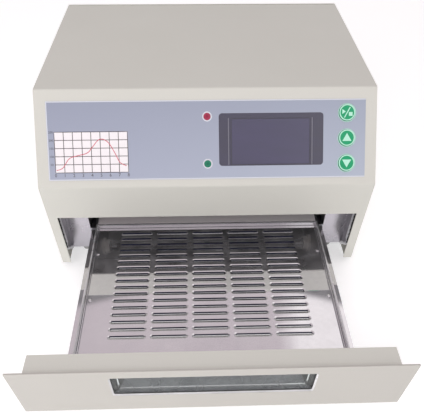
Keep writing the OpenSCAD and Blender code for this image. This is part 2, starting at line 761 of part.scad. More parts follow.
// Heaters: a coil in each quartz tube, held by a ceramic cap at each end.
module each_tube() for (i = [0:tube_count - 1]) {
    translate([0, tube_first_y + i * tube_pitch, tube_z]) children();
}
module quartz_tubes() color([0.85, 0.88, 0.9]) each_tube() difference() {
    rod_x(-tube_end_x, tube_end_x, tube_d);
    rod_x(-tube_end_x - 1, tube_end_x + 1, tube_d - 2 * tube_wall);
}
module heating_coils() color([0.72, 0.5, 0.4]) each_tube() {
    rod_x(-cap_in_x, cap_in_x, coil_d);
    rod_x(-cap_out_x - 4, cap_out_x + 4, lead_d);
}
module ceramic_end_caps() color([0.94, 0.93, 0.88]) each_tube() both_sides() difference() {
    union() {
        rod_x(cap_in_x, cap_out_x, cap_d);
        rod_x(wall_x - 3, wall_x, cap_d + 2 * cap_collar);
    }
    rod_x(cap_in_x - 1, tube_end_x, tube_d);
    rod_x(cap_in_x, cap_out_x + 1, lead_d);
}
module temperature_probes() color([0.66, 0.67, 0.68]) both_sides() translate([probe_x, probe_y, 0]) {
    translate([0, 0, ceiling_z - probe_reach]) cylinder(h = probe_reach + wool_t + 2, d = probe_d);
    translate([0, 0, wool_top_z]) cylinder(h = 3, d = 2.4 * probe_d, $fn = 6);
}

// Control panel
module panel_overlay() color([0.7, 0.73, 0.79]) on_slope(0, label_drop + label_h / 2) difference() {
    along_z(0, label_t) square([label_w, label_h], center = true);
    translate([lcd_x, label_drop + label_h / 2 - lcd_s, 0]) along_z(-1, 1) {
        rounded_square(lcd_w, lcd_h, lcd_r);
    }
    for (i = [0:2]) translate([key_x, label_drop + label_h / 2 - key_s - i * key_pitch, -1]) {
        cylinder(h = 2, d = key_hole_d);
    }
    for (s = [red_s, green_s]) translate([0, label_drop + label_h / 2 - s, -1]) {
        cylinder(h = 2, d = lamp_d + 2 * skin);
    }
}
module lcd_window() color([0.36, 0.36, 0.42]) on_slope(lcd_x, lcd_s) along_z(0, label_t) {
    rounded_square(lcd_w, lcd_h, lcd_r);
}
module lcd_module() color([0.32, 0.32, 0.38]) on_slope(lcd_x, lcd_s) difference() {
    card_h = board_h - 2;
    union() {
        along_z(lcd_back_n, lcd_front_n) square([lcd_cut_w + 5, lcd_cut_h + 6], center = true);
        along_z(lcd_back_n - board_t, lcd_back_n) square([lcd_w - 2, card_h], center = true);
        for (i = [0:header_count - 1]) {
            translate([(i - (header_count - 1) / 2) * header_pitch, card_h / 2 - header_pitch, board_n]) {
                cylinder(h = lcd_back_n - board_n, d = 0.8);
            }
        }
    }
    along_z(lcd_front_n - 1, lcd_front_n + 1) square([lcd_view_w, lcd_view_h], center = true);
}
module at_board_corners() on_slope(board_middle_x, lcd_s) for (x = [-1, 1], y = [-1, 1]) {
    translate([x * (board_w / 2 - board_inset), y * (board_h / 2 - board_inset), board_n]) children();
}
module control_board() color([0.1, 0.38, 0.2]) difference() {
    on_slope(board_middle_x, lcd_s) along_z(board_n - board_t, board_n) rounded_square(board_w, board_h, 2);
    at_board_corners() translate([0, 0, -board_t - 1]) cylinder(h = board_t + 2, d = board_screw_d);
}
module board_studs() color([0.68, 0.68, 0.7]) at_board_corners() {
    cylinder(h = board_gap, d = 1.7 * board_screw_d, $fn = 6);
    translate([0, 0, -board_t - stud_head_h]) {
        cylinder(h = board_t + stud_head_h + skin, d = board_screw_d);
        cylinder(h = stud_head_h, d = 1.8 * board_screw_d);
    }
}

// A lamp with a collar below its lens and two leads down to the control board.
module lamp(s) on_slope(0, s) {
    lens_r = lamp_d / 2;
    collar_n = -sheet_t - 5;
    rotate_extrude() polygon([[0, collar_n], [lens_r + 0.5, collar_n], [lens_r + 0.5, collar_n + 1.2],
        [lens_r, collar_n + 1.2], [lens_r, lamp_rise - 0.6], [lens_r - 0.3, lamp_rise - 0.2],
        [lens_r - 0.9, lamp_rise], [0, lamp_rise]]);
    for (x = [-1, 1]) translate([x * header_pitch / 2, 0, board_n]) {
        cylinder(h = collar_n + skin - board_n, d = 0.6);
    }
}
module red_lamp() color([0.73, 0.27, 0.38]) lamp(red_s);
module green_lamp() color([0.16, 0.51, 0.41]) lamp(green_s);

module each_key() for (i = [0:2]) on_slope(key_x, key_s + i * key_pitch) children();
module key_switches() color([0.15, 0.15, 0.16]) each_key() {
    along_z(board_n, board_n + tact_h) square(tact_w, center = true);
    along_z(board_n + tact_h / 2, key_foot_n - key_travel - skin) circle(d = tact_d);
}
module key(i) color([0.13, 0.63, 0.43]) on_slope(key_x, key_s + i * key_pitch) {
    rotate_extrude() polygon([[0, key_foot_n], [key_hole_d / 2 + 1, key_foot_n],
        [key_hole_d / 2 + 1, key_foot_n + key_foot_t], [key_d / 2, key_foot_n + key_foot_t],
        [key_d / 2, key_rise - 0.7], [key_d / 2 - 0.2, key_rise - 0.3], [key_d / 2 - 0.7, key_rise],
        [0, key_rise]]);
}
module key_start() key(0);
module key_up() key(1);
module key_down() key(2);

// Electronics deck above the insulation
module electronics_deck() color([0.74, 0.74, 0.75]) difference() {
    along_y(deck_y, deck_back_y) {
        folded([[-inner_x, deck_z + sheet_t + flange_d], [-inner_x, deck_z], [inner_x, deck_z],
            [inner_x, deck_z + sheet_t + flange_d]], sheet_t, fold_r);
    }
    for (spot = spacer_spots) translate([spot[0], spot[1], deck_z - 1]) {
        cylinder(h = 3 * sheet_t, d = screw_d);
    }
    for (spot = side_screw_spots) if (spot[1] > deck_z) both_sides() translate([0, spot[0], spot[1]]) {
        rod_x(inner_x - 2 * sheet_t, body_w / 2, screw_d);
    }
}
module power_board() color([0.12, 0.36, 0.2]) difference() {
    translate([power_x, power_y, 0]) along_z(power_z, power_top_z) rounded_square(power_w, power_l, 2);
    for (spot = spacer_spots) translate([spot[0], spot[1], power_z - 1]) {
        cylinder(h = board_t + 2, d = screw_d);
    }
}
module board_spacers() color([0.72, 0.68, 0.5]) for (spot = spacer_spots) translate([spot[0], spot[1], 0]) {
    head_h = 0.6 * screw_d;
    along_z(deck_z - head_h, power_top_z + head_h) circle(d = screw_d);
    translate([0, 0, deck_z + sheet_t]) cylinder(h = spacer_h, d = 2 * screw_d, $fn = 6);
    along_z(power_top_z, power_top_z + head_h) circle(d = 2 * screw_d);
    along_z(deck_z - head_h, deck_z) circle(d = 2 * screw_d);
}
module transformer() color([0.3, 0.3, 0.32]) translate([transformer_x, power_y, deck_z + sheet_t]) {
    block([-core_w / 2, -core_d / 2, 0], [core_w / 2, core_d / 2, core_h]);
    translate([0, 0, core_h / 2]) along_y(-core_d / 2 - winding_out, core_d / 2 + winding_out) {
        rounded_square(core_w * 2 / 3, core_h * 2 / 3, 3);
    }
    block([-core_w / 2 - core_ear, -core_d / 2, 0], [core_w / 2 + core_ear, core_d / 2, core_foot_t]);
}
module heat_sink() color([0.2, 0.2, 0.21]) translate([power_x - power_w / 4, power_y, 0]) {
    fin_t = 2;
    along_z(power_top_z, power_top_z + sink_h) {
        translate([0, -sink_l / 2]) square([5, sink_l]);
        for (i = [0:fin_count - 1]) {
            translate([4, -sink_l / 2 + i * (sink_l - fin_t) / (fin_count - 1)]) square([fin_l + 1, fin_t]);
        }
    }
}
module capacitors() color([0.16, 0.18, 0.3]) for (i = [-1:1]) {
    translate([power_x + power_w / 8, power_y + i * capacitor_pitch, power_top_z]) {
        cylinder(h = capacitor_h, d = capacitor_d);
    }
}
module terminal_block() color([0.2, 0.45, 0.3]) difference() {
    block_x = power_x + power_w * 3 / 8;
    mouth_d = terminal_pitch / 2;
    translate([block_x, power_y, 0]) along_z(power_top_z, power_top_z + terminal_h) {
        square([terminal_d, terminal_count * terminal_pitch + terminal_d / 3], center = true);
    }
    for (i = [0:terminal_count - 1]) {
        translate([block_x, power_y + (i - (terminal_count - 1) / 2) * terminal_pitch,
            power_top_z + terminal_h * 3 / 7]) {
            rod_x(0, terminal_d, mouth_d);
            cylinder(h = terminal_h, d = 0.9 * mouth_d);
        }
    }
}

// Exhaust fan
motor_boss_d = 9;
module fan_frame() color([0.13, 0.13, 0.14]) {
    difference() {
        translate([0, 0, fan_z]) along_y(fan_y, rear_in_y) rounded_square(fan_w, fan_w, 4);
        translate([0, 0, fan_z]) rod_y(fan_y - 1, rear_in_y + 1, 2 * fan_bore_r);
        for (spot = fan_screw_spots) translate([spot[0], 0, spot[1]]) {
            rod_y(fan_y - 1, rear_in_y + 1, fan_screw_d);
        }
    }
    translate([0, 0, fan_z]) difference() {
        union() {
            rod_y(motor_y, rear_in_y, 2 * fan_hub_r);
            rod_y(motor_y - fan_d * 0.4, motor_y + 1, motor_boss_d);
            for (a = [30:120:270]) rotate([0, a, 0]) {
                block([fan_hub_r - 1, motor_y, -2], [fan_bore_r + 1, motor_y + 3, 2]);
            }
        }
        rod_y(fan_y, rear_in_y - 1, shaft_d + 2 * shaft_gap);
    }
}
module fan_rotor() color([0.15, 0.15, 0.16]) translate([0, 0, fan_z]) {
    rotor_y = fan_y + 1;
    blade_r = fan_bore_r - fan_gap;
    difference() {
        rod_y(rotor_y, rotor_back_y, 2 * fan_hub_r);
        rod_y(rotor_y + 2, rotor_back_y + 1, 2 * fan_hub_r - 3);
    }
    rod_y(rotor_y + 1, motor_y + 2, shaft_d);
    intersection() {
        difference() {
            rod_y(rotor_y, rotor_back_y, 2 * blade_r);
            rod_y(rotor_y - 1, rotor_back_y + 1, 2 * fan_hub_r - 1);
        }
        for (i = [0:blade_count - 1]) rotate([0, i * 360 / blade_count, 0]) {
            translate([0, (rotor_y + rotor_back_y) / 2, 0]) rotate([90 - blade_a, 0, 0]) {
                block([fan_hub_r - 1, -fan_d, -blade_t / 2], [blade_r + 2, fan_d, blade_t / 2]);
            }
        }
    }
}
module fan_guard() color([0.7, 0.71, 0.72]) translate([0, back_y, fan_z]) {
    ring_y = guard_rise - wire_d / 2;
    eye_r = fan_screw_pitch / sqrt(2);
    for (i = [1:guard_rings]) rotate([-90, 0, 0]) translate([0, 0, ring_y]) rotate_extrude() {
        translate([i * fan_bore_r / (guard_rings - 0.4), 0]) circle(d = wire_d, $fn = 8);
    }
    for (a = [45:90:315]) rotate([0, a, 0]) {
        block([fan_bore_r / guard_rings, ring_y - 0.9 * wire_d, -wire_d / 2],
            [eye_r - 4, ring_y - 0.2 * wire_d, wire_d / 2]);
        block([eye_r - 5, 0, -wire_d / 2], [eye_r - 3.4, ring_y - 0.2 * wire_d, wire_d / 2]);
        difference() {
            translate([eye_r, 0, 0]) rod_y(0, wire_d, fan_screw_d + 2 * wire_d);
            translate([eye_r, 0, 0]) rod_y(-1, wire_d + 1, fan_screw_d);
        }
    }
}
module fan_screws() color([0.6, 0.6, 0.62]) for (spot = fan_screw_spots) {
    pan_screw_y([spot[0], back_y + wire_d, spot[1]], 1.9 * fan_screw_d, 0.6 * fan_screw_d, fan_screw_d,
        fan_screw_l);
}

// Mains inlet and rocker switch
module inlet_body() color([0.1, 0.1, 0.11]) translate([inlet_x, 0, inlet_z]) difference() {
    union() {
        along_y(back_y - inlet_depth, back_y + inlet_lip) chamfered(inlet_w, inlet_h, inlet_chamfer);
        along_y(back_y, back_y + inlet_lip) rounded_square(inlet_w + 4, inlet_h + 4, 2);
    }
    along_y(back_y + inlet_lip - socket_depth, back_y + inlet_lip + 1) {
        chamfered(socket_w, socket_h, inlet_chamfer - 0.8);
    }
    for (spot = pin_spots) translate([spot[0], 0, spot[1]]) {
        along_y(back_y - inlet_depth - 1, back_y) square([pin_w, pin_h], center = true);
    }
}
module inlet_pins() color([0.75, 0.73, 0.68]) for (spot = pin_spots) {
    translate([inlet_x + spot[0], 0, inlet_z + spot[1]]) {
        along_y(back_y - inlet_depth - 7, back_y + inlet_lip - 2) square([pin_w, pin_h], center = true);
    }
}

module switch_frame() color([0.1, 0.1, 0.11]) translate([switch_x, back_y, inlet_z]) difference() {
    union() {
        along_y(-switch_depth, switch_lip) square([switch_w, switch_h], center = true);
        along_y(0, switch_lip) rounded_square(switch_w + 3, switch_h + 3, 1);
        for (z = [-5, 5]) translate([0, 0, z]) along_y(-switch_depth - 8, -switch_depth) {
            square([6.3, 0.8], center = true);
        }
    }
    along_y(-rocker_depth - 3, switch_lip + 1) {
        square([rocker_w + 2 * rocker_gap, 2 * rocker_r + 2 * rocker_gap], center = true);
    }
    rod_x(-switch_w / 2 + 0.6, switch_w / 2 - 0.6, pivot_d + 2 * shaft_gap);
}
module switch_rocker() color([0.16, 0.16, 0.17]) translate([switch_x, back_y, inlet_z]) {
    rotate([rocker_swing / 2, 0, 0]) {
        intersection() {
            rod_x(-rocker_w / 2, rocker_w / 2, 2 * rocker_r);
            along_x(-rocker_w / 2, rocker_w / 2) polygon([[-rocker_depth, -rocker_tip],
                [rocker_valley + rocker_rise, -rocker_tip], [rocker_valley, 0],
                [rocker_valley + rocker_rise, rocker_tip], [-rocker_depth, rocker_tip]]);
        }
        rod_x(-switch_w / 2 + 0.8, switch_w / 2 - 0.8, pivot_d);
    }
}

// Drawer
module window_cut(from, to, grow) translate([0, 0, window_z]) along_y(from, to) {
    rounded_square(window_w + 2 * grow, window_h + 2 * grow, window_r);
}
module drawer_plate() color([0.82, 0.8, 0.77]) difference() {
    translate([0, 0, (door_z + door_top_z) / 2]) along_y(door_y, door_back_y) {
        rounded_square(body_w, door_h, 0.8);
    }
    window_cut(door_y - 1, door_back_y + 1, 0);
}
module drawer_box() color([0.79, 0.77, 0.73]) difference() {
    block([-door_box_w / 2, door_back_y, box_z], [door_box_w / 2, box_back_y, box_top_z]);
    block([door_box_t - door_box_w / 2, door_back_y - 1, box_z + door_box_t],
        [door_box_w / 2 - door_box_t, box_back_y - door_box_t, box_top_z - door_box_t]);
    translate([0, 0, window_z]) along_y(box_back_y - 2, box_back_y + 1) {
        square([slit_w, slit_h], center = true);
    }
}
module window_glass() color([0.7, 0.76, 0.78, 0.4]) window_cut(door_back_y, glass_back_y, glass_lap);

// The liner narrows from the glass to the slit in front of the inner pane.
module taper(w1, h1, y1, w2, h2, y2) hull() {
    translate([0, 0, window_z]) along_y(y1, y1 + 0.01) square([w1, h1], center = true);
    translate([0, 0, window_z]) along_y(y2 - 0.01, y2) square([w2, h2], center = true);
}
module window_liner() color([0.8, 0.81, 0.82]) difference() {
    union() {
        taper(window_w + 2 * liner_t, window_h + 2 * liner_t, glass_back_y, slit_w + 2 * liner_t,
            slit_h + 2 * liner_t, pane_y);
        window_cut(glass_back_y, glass_back_y + liner_t, glass_lap - 1);
    }
    taper(window_w, window_h, glass_back_y - 0.01, slit_w, slit_h, pane_y + 0.01);
}
module inner_pane() color([0.7, 0.76, 0.78, 0.4]) translate([0, 0, window_z]) {
    along_y(pane_y, pane_y + pane_t) rounded_square(slit_w + 2 * pane_lap, slit_h + 2 * pane_lap, 1);
}

// Tray: a pan folded from one sheet, with a flange along each side and behind.
module tray() color([0.8, 0.8, 0.82]) difference() {
    union() {
        along_y(box_back_y, tray_back_y + tray_t) {
            folded([[-flange_x, rim_z - tray_t], [-tray_w / 2 - tray_t, rim_z - tray_t],
                [-tray_w / 2 - tray_t, floor_z - tray_t], [tray_w / 2 + tray_t, floor_z - tray_t],
                [tray_w / 2 + tray_t, rim_z - tray_t], [flange_x, rim_z - tray_t]], tray_t, tray_fold_r);
        }
        along_x(-tray_w / 2 - tray_t, tray_w / 2 + tray_t) {
            folded([[tray_back_y - 2, floor_z - tray_t], [tray_back_y + tray_t, floor_z - tray_t],
                [tray_back_y + tray_t, rim_z - tray_t], [tray_back_y + tray_t + tray_tail, rim_z - tray_t]],
                tray_t, tray_fold_r);
        }
        along_z(rim_z - tray_t, rim_z) {
            translate([-flange_x, tray_back_y + tray_t]) square([2 * flange_x, tray_tail]);
        }
        block([-tray_w / 2 - tray_t, box_back_y, floor_z - tray_t],
            [tray_w / 2 + tray_t, box_back_y + tray_t, rim_z]);
    }
    for (col = [0:slot_cols - 1], row = [0:slot_rows - 1]) {
        translate([(col - (slot_cols - 1) / 2) * slot_col_pitch, slot_y - row * slot_row_pitch, 0]) {
            along_z(floor_z - 2 * tray_t, floor_z + 1) slot_outline(slot_l, slot_w);
        }
    }
    for (spot = rivet_spots) translate([spot[0], spot[1], floor_z - 2 * tray_t]) {
        cylinder(h = 3 * tray_t, d = rivet_d / 2);
    }
}
module tray_rivet() {
    rotate_extrude() polygon([[0, 0], [rivet_d / 2, 0], [rivet_d / 2.2, 0.5], [rivet_d / 3, 1], [0, 1.2]]);
    translate([0, 0, -tray_t - 1]) cylinder(h = tray_t + 1.2, d = rivet_d / 2);
    translate([0, 0, -tray_t - 1]) cylinder(h = 1, d = 0.8 * rivet_d);
}
module tray_rivets() color([0.7, 0.7, 0.72]) for (spot = rivet_spots) {
    translate([spot[0], spot[1], floor_z]) tray_rivet();
}

top_front_shell();
side_panel_left();
side_panel_right();
rear_panel();
base_pan();
front_bulkhead();
rubber_feet();
foot_screws();
side_screws();
rear_screws();
rail_left();
rail_right();
chamber_shell();
chamber_floor();
rear_baffle();
insulation_wool();
quartz_tubes();
heating_coils();
ceramic_end_caps();
temperature_probes();
panel_overlay();
lcd_window();
lcd_module();
control_board();
board_studs();
red_lamp();
green_lamp();
key_switches();
key_start();
key_up();
key_down();
electronics_deck();
power_board();
board_spacers();
transformer();
heat_sink();
capacitors();
terminal_block();
fan_frame();
fan_rotor();
fan_guard();
fan_screws();
inlet_body();
inlet_pins();
switch_frame();
switch_rocker();
drawer_plate();
drawer_box();
window_glass();
window_liner();
inner_pane();
tray();
tray_rivets();
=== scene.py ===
"""Finishes, printed details and studio for a bench infrared reflow oven with a slotted pan on a drawer.

Sizes are in millimetres and are turned to metres where a mesh is placed. X runs to the right, Y to the
back and Z up, as in the construction that this file dresses.
"""

from __future__ import annotations

import logging
import math
from dataclasses import dataclass, field
from enum import Enum
from typing import Any, Sequence

import bmesh
import bpy
from bmesh.types import BMesh
from bpy.types import Material, Mesh, NodeSocket, NodeTree, Object
from mathutils import Matrix, Vector

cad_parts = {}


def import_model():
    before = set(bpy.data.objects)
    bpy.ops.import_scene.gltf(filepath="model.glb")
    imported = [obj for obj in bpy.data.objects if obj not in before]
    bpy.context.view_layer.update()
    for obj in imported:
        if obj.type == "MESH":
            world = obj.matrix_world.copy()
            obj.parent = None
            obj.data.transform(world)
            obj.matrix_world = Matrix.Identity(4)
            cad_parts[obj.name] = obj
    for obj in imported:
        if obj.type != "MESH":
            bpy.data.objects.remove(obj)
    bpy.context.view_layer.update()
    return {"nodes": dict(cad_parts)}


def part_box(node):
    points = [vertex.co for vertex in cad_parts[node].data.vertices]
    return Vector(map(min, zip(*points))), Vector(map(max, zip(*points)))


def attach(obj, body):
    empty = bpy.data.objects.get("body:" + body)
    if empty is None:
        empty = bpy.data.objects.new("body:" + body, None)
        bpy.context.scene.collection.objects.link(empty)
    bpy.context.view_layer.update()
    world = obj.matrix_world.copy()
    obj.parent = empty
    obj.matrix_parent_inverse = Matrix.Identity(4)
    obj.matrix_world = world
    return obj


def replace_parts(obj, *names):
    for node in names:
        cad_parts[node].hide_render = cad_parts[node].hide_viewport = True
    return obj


LOG = logging.getLogger("oven")
MM = 0.001
IN_MM = Matrix.Scale(MM, 4)
FLAT = Matrix.Identity(4)
MERGE_MM = 0.001
SHARP_DEG = 35
# The colour mixer's inputs go by number: the share, then the two colours.
SHARE, FIRST, SECOND = 0, 6, 7

Colour = tuple[float, float, float, float]
Outline = list[tuple[float, float]]


def srgb(hex_code: str) -> Colour:
    """Turns an sRGB hex value to the linear colour that shaders take.

    Args:
        hex_code: Six hex digits after a hash sign.

    Returns:
        Linear red, green, blue and an alpha of one.
    """
    channels = [int(hex_code[i:i + 2], 16) / 255 for i in (1, 3, 5)]
    linear = [c / 12.92 if c <= 0.04045 else ((c + 0.055) / 1.055) ** 2.4 for c in channels]
    return (linear[0], linear[1], linear[2], 1.0)


def add_node(tree: NodeTree, kind: str, inputs: dict[Any, Any] | None = None,
             **settings: Any) -> NodeSocket | None:
    """Adds a node with its settings, and fills or links its inputs.

    Args:
        tree: The tree that takes the node.
        kind: The node's type name, without its first part where that is the tree's own.
        inputs: Values or output sockets by the input's name or number.
        **settings: Properties of the node itself.

    Returns:
        The first output that is in use, if the node has one.
    """
    node = tree.nodes.new(kind if "Node" in kind else tree.bl_idname.removesuffix("Tree") + kind)
    for name, value in settings.items():
        setattr(node, name, value)
    for key, value in (inputs or {}).items():
        if isinstance(value, NodeSocket):
            tree.links.new(value, node.inputs[key])
        else:
            node.inputs[key].default_value = value
    return next((socket for socket in node.outputs if socket.enabled), None)


def grain(tree: NodeTree, size_mm: float, stretch: Sequence[float] = (1, 1, 1),
          detail: float = 2.0) -> NodeSocket:
    """Lays an uneven pattern of a real size over a piece, fixed to the piece itself.

    Args:
        tree: The material's tree.
        size_mm: The size of one patch of the pattern.
        stretch: How much finer the pattern is along each axis.
        detail: How many finer layers it holds.

    Returns:
        The pattern's height, from 0 to 1.
    """
    coords = add_node(tree, "TexCoord").node.outputs["Object"]
    placed = add_node(tree, "Mapping", {"Vector": coords, "Scale": stretch})
    return add_node(tree, "TexNoise", {"Vector": placed, "Scale": 1 / (size_mm * MM), "Detail": detail})


class Grain(Enum):
    """The way that a sheet's rolling or brushing lines run: finer across the lines."""

    NONE = (1, 1, 1)
    ALONG_X = (0.03, 1, 1)
    ALONG_Y = (1, 0.03, 1)
    ALONG_Z = (1, 1, 0.03)


@dataclass(frozen=True)
class Finish:
    """What every finish has: the name of the real material and its colour."""

    name: str
    colour: str

    def sockets(self, tree: NodeTree) -> dict[str, Any]:
        """Gives only the colour among the shader's inputs."""
        return {"Base Color": srgb(self.colour)}

    def make(self) -> Material:
        """Builds the material from the finish's inputs.

        Returns:
            The new material.
        """
        material = bpy.data.materials.new(self.name)
        material.use_nodes = True
        tree = material.node_tree
        tree.nodes.clear()
        shader = add_node(tree, "BsdfPrincipled", self.sockets(tree))
        add_node(tree, "OutputMaterial", {"Surface": shader})
        return material


@dataclass(frozen=True)
class PowderCoat(Finish):
    """Baked polyester powder on sheet steel: satin, with a fine orange peel and a faint drift in tone."""

    shade: str = "#CFCBC4"
    roughness: float = 0.46
    gloss_span: float = 0.06
    drift_mm: float = 90.0
    speck_mm: float = 0.7
    peel_mm: float = 1.1
    peel_depth: float = 0.03
    peel_strength: float = 0.35
    ior: float = 1.5

    def sockets(self, tree: NodeTree) -> dict[str, Any]:
        """Works out the shader's inputs.

        Args:
            tree: The material's tree.

        Returns:
            Values or sockets by the input's name.
        """
        drift = grain(tree, self.drift_mm, detail=3)
        speck = grain(tree, self.speck_mm, detail=1)
        blend = add_node(tree, "Math", {0: drift, 1: speck}, operation="MULTIPLY")
        tone = add_node(tree, "Mix", {
            SHARE: blend, FIRST: srgb(self.colour), SECOND: srgb(self.shade)}, data_type="RGBA")
        gloss = add_node(tree, "MapRange", {
            "Value": drift, "To Min": self.roughness - self.gloss_span,
            "To Max": self.roughness + self.gloss_span})
        peel = add_node(tree, "Bump", {
            "Height": grain(tree, self.peel_mm), "Distance": self.peel_depth * MM,
            "Strength": self.peel_strength})
        return {"Base Color": tone, "Roughness": gloss, "Normal": peel, "IOR": self.ior}


@dataclass(frozen=True)
class SheetMetal(Finish):
    """Rolled sheet: long rolling lines, a soft waviness that bends reflections, and dull smudges.

    Rolling lines are finer than a pixel on the real sheet. They are drawn as coarse as they need to show.
    """

    smudge: str = "#A9A9AD"
    roughness: float = 0.25
    smudge_roughness: float = 0.15
    line_mm: float = 0.5
    lines: Grain = Grain.NONE
    line_depth: float = 0.004
    wave_mm: float = 60.0
    wave_depth: float = 0.25
    haze: float = 0.0
    haze_mm: float = 12.0
    haze_span: tuple[float, float] = (0.35, 0.65)
    haze_shares: tuple[float, float] = (1.4, 0.6)
    stain_mm: float = 35.0
    stain_span: tuple[float, float] = (0.3, 0.8)

    def sockets(self, tree: NodeTree) -> dict[str, Any]:
        """Works out the shader's inputs.

        Args:
            tree: The material's tree.

        Returns:
            Values or sockets by the input's name.
        """
        stain = grain(tree, self.stain_mm, detail=4)
        tone = add_node(tree, "Mix", {
            SHARE: stain, FIRST: srgb(self.colour), SECOND: srgb(self.smudge)}, data_type="RGBA")
        gloss = add_node(tree, "MapRange", {
            "Value": stain, "From Min": self.stain_span[0], "From Max": self.stain_span[1],
            "To Min": self.roughness, "To Max": self.roughness + self.smudge_roughness})
        wave = add_node(tree, "Bump", {
            "Height": grain(tree, self.wave_mm, detail=0), "Distance": self.wave_depth * MM,
            "Strength": 1.0})
        line = add_node(tree, "Bump", {
            "Height": grain(tree, self.line_mm, self.lines.value), "Distance": self.line_depth * MM,
            "Strength": 1.0, "Normal": wave})
        inputs = {"Base Color": tone, "Metallic": 1.0, "Roughness": gloss, "Normal": line}
        if self.haze:
            inputs["Metallic"] = add_node(tree, "MapRange", {
                "Value": grain(tree, self.haze_mm, detail=5), "From Min": self.haze_span[0],
                "From Max": self.haze_span[1], "To Min": 1 - self.haze * self.haze_shares[0],
                "To Max": 1 - self.haze * self.haze_shares[1]})
        return inputs


@dataclass(frozen=True)
class SlotGrid:
    """The pan's slots: how many there are, how far apart they lie and how large they are."""

    columns: int = 5
    rows: int = 17
    column_pitch: float = 37.6
    row_pitch: float = 8.25
    slot_l: float = 31.2
    slot_w: float = 2.4


@dataclass(frozen=True)
class PressedPan(SheetMetal):
    """Polished sheet with slots punched from above: their edges dip, so that each has a bright far edge.

    The dip is drawn deeper than it is, so that it shows.
    """

    grid: SlotGrid = SlotGrid()
    middle_y: float = -91.4
    edge_in: float = 0.3
    dip_w: float = 1.7
    dip: float = 0.45

    def off_grid(self, tree: NodeTree, place: NodeSocket, pitch: float, count: int) -> NodeSocket:
        """Measures how far a place lies from the nearest slot's middle along one axis.

        Args:
            tree: The material's tree.
            place: The coordinate in metres, from the grid's middle.
            pitch: The grid's pitch in millimetres.
            count: The number of slots along the axis.

        Returns:
            The distance in millimetres.
        """
        reach = (count - 1) / 2
        middle = place
        for operation, second in (("DIVIDE", pitch * MM), ("ROUND", 0.0), ("MAXIMUM", -reach),
                                  ("MINIMUM", reach), ("MULTIPLY", pitch)):
            middle = add_node(tree, "Math", {0: middle, 1: second}, operation=operation)
        in_mm = add_node(tree, "Math", {0: place, 1: MM}, operation="DIVIDE")
        off = add_node(tree, "Math", {0: in_mm, 1: middle}, operation="SUBTRACT")
        return add_node(tree, "Math", {0: off}, operation="ABSOLUTE")

    def sockets(self, tree: NodeTree) -> dict[str, Any]:
        """Works out the shader's inputs.

        Args:
            tree: The material's tree.

        Returns:
            Values or sockets by the input's name.
        """
        inputs = super().sockets(tree)
        coords = add_node(tree, "TexCoord").node.outputs["Object"]
        placed = add_node(tree, "Mapping", {"Vector": coords, "Location": (0, -self.middle_y * MM, 0)})
        axes = add_node(tree, "SeparateXYZ", {0: placed}).node.outputs
        grid = self.grid
        across = self.off_grid(tree, axes[0], grid.column_pitch, grid.columns)
        along = self.off_grid(tree, axes[1], grid.row_pitch, grid.rows)
        past = add_node(tree, "Math", {0: across, 1: (grid.slot_l - grid.slot_w) / 2}, operation="SUBTRACT")
        past = add_node(tree, "Math", {0: past, 1: 0.0}, operation="MAXIMUM")
        pair = add_node(tree, "CombineXYZ", {"X": past, "Y": along})
        away = add_node(tree, "VectorMath", {0: pair}, operation="LENGTH")
        height = add_node(tree, "MapRange", {
            "Value": away, "From Min": grid.slot_w / 2 - self.edge_in,
            "From Max": grid.slot_w / 2 + self.dip_w}, interpolation_type="SMOOTHSTEP")
        inputs["Normal"] = add_node(tree, "Bump", {
            "Height": height, "Distance": self.dip * MM, "Strength": 1.0, "Normal": inputs["Normal"]})
        return inputs


@dataclass(frozen=True)
class PrintedFilm(Finish):
    """Back-printed polyester film with a pale pearl ink, coloured lighter to the right, and darkened
    towards the top by painted shade.
    """

    far_colour: str = "#C4CBD6"
    width_mm: float = 289.0
    pearl: float = 0.25
    # Painted shade: the colour that the film fades to towards the top of the slope, where less light falls.
    shade: str = "#8F95A8"
    fade: float = 0.5
    low_mm: float = 108.0
    high_mm: float = 162.0
    tooth_mm: float = 0.5
    tooth_depth: float = 0.01
    tooth_strength: float = 0.3
    cloud_mm: float = 30.0
    gloss: tuple[float, float] = (0.3, 0.42)

    def sockets(self, tree: NodeTree) -> dict[str, Any]:
        """Works out the shader's inputs.

        Args:
            tree: The material's tree.

        Returns:
            Values or sockets by the input's name.
        """
        coords = add_node(tree, "TexCoord").node.outputs["Object"]
        axes = add_node(tree, "SeparateXYZ", {0: coords}).node.outputs
        half = self.width_mm * MM / 2
        along = add_node(tree, "MapRange", {"Value": axes[0], "From Min": -half, "From Max": half})
        tone = add_node(tree, "Mix", {
            SHARE: along, FIRST: srgb(self.colour), SECOND: srgb(self.far_colour)}, data_type="RGBA")
        # Painted shade: darker towards the top of the slope.
        rise = add_node(tree, "MapRange", {
            "Value": axes[2], "From Min": self.low_mm * MM, "From Max": self.high_mm * MM,
            "To Max": self.fade})
        tone = add_node(tree, "Mix", {SHARE: rise, FIRST: tone, SECOND: srgb(self.shade)}, data_type="RGBA")
        matt = add_node(tree, "Bump", {
            "Height": grain(tree, self.tooth_mm), "Distance": self.tooth_depth * MM,
            "Strength": self.tooth_strength})
        gloss = add_node(tree, "MapRange", {
            "Value": grain(tree, self.cloud_mm), "To Min": self.gloss[0], "To Max": self.gloss[1]})
        return {"Base Color": tone, "Metallic": self.pearl, "Roughness": gloss, "Normal": matt}


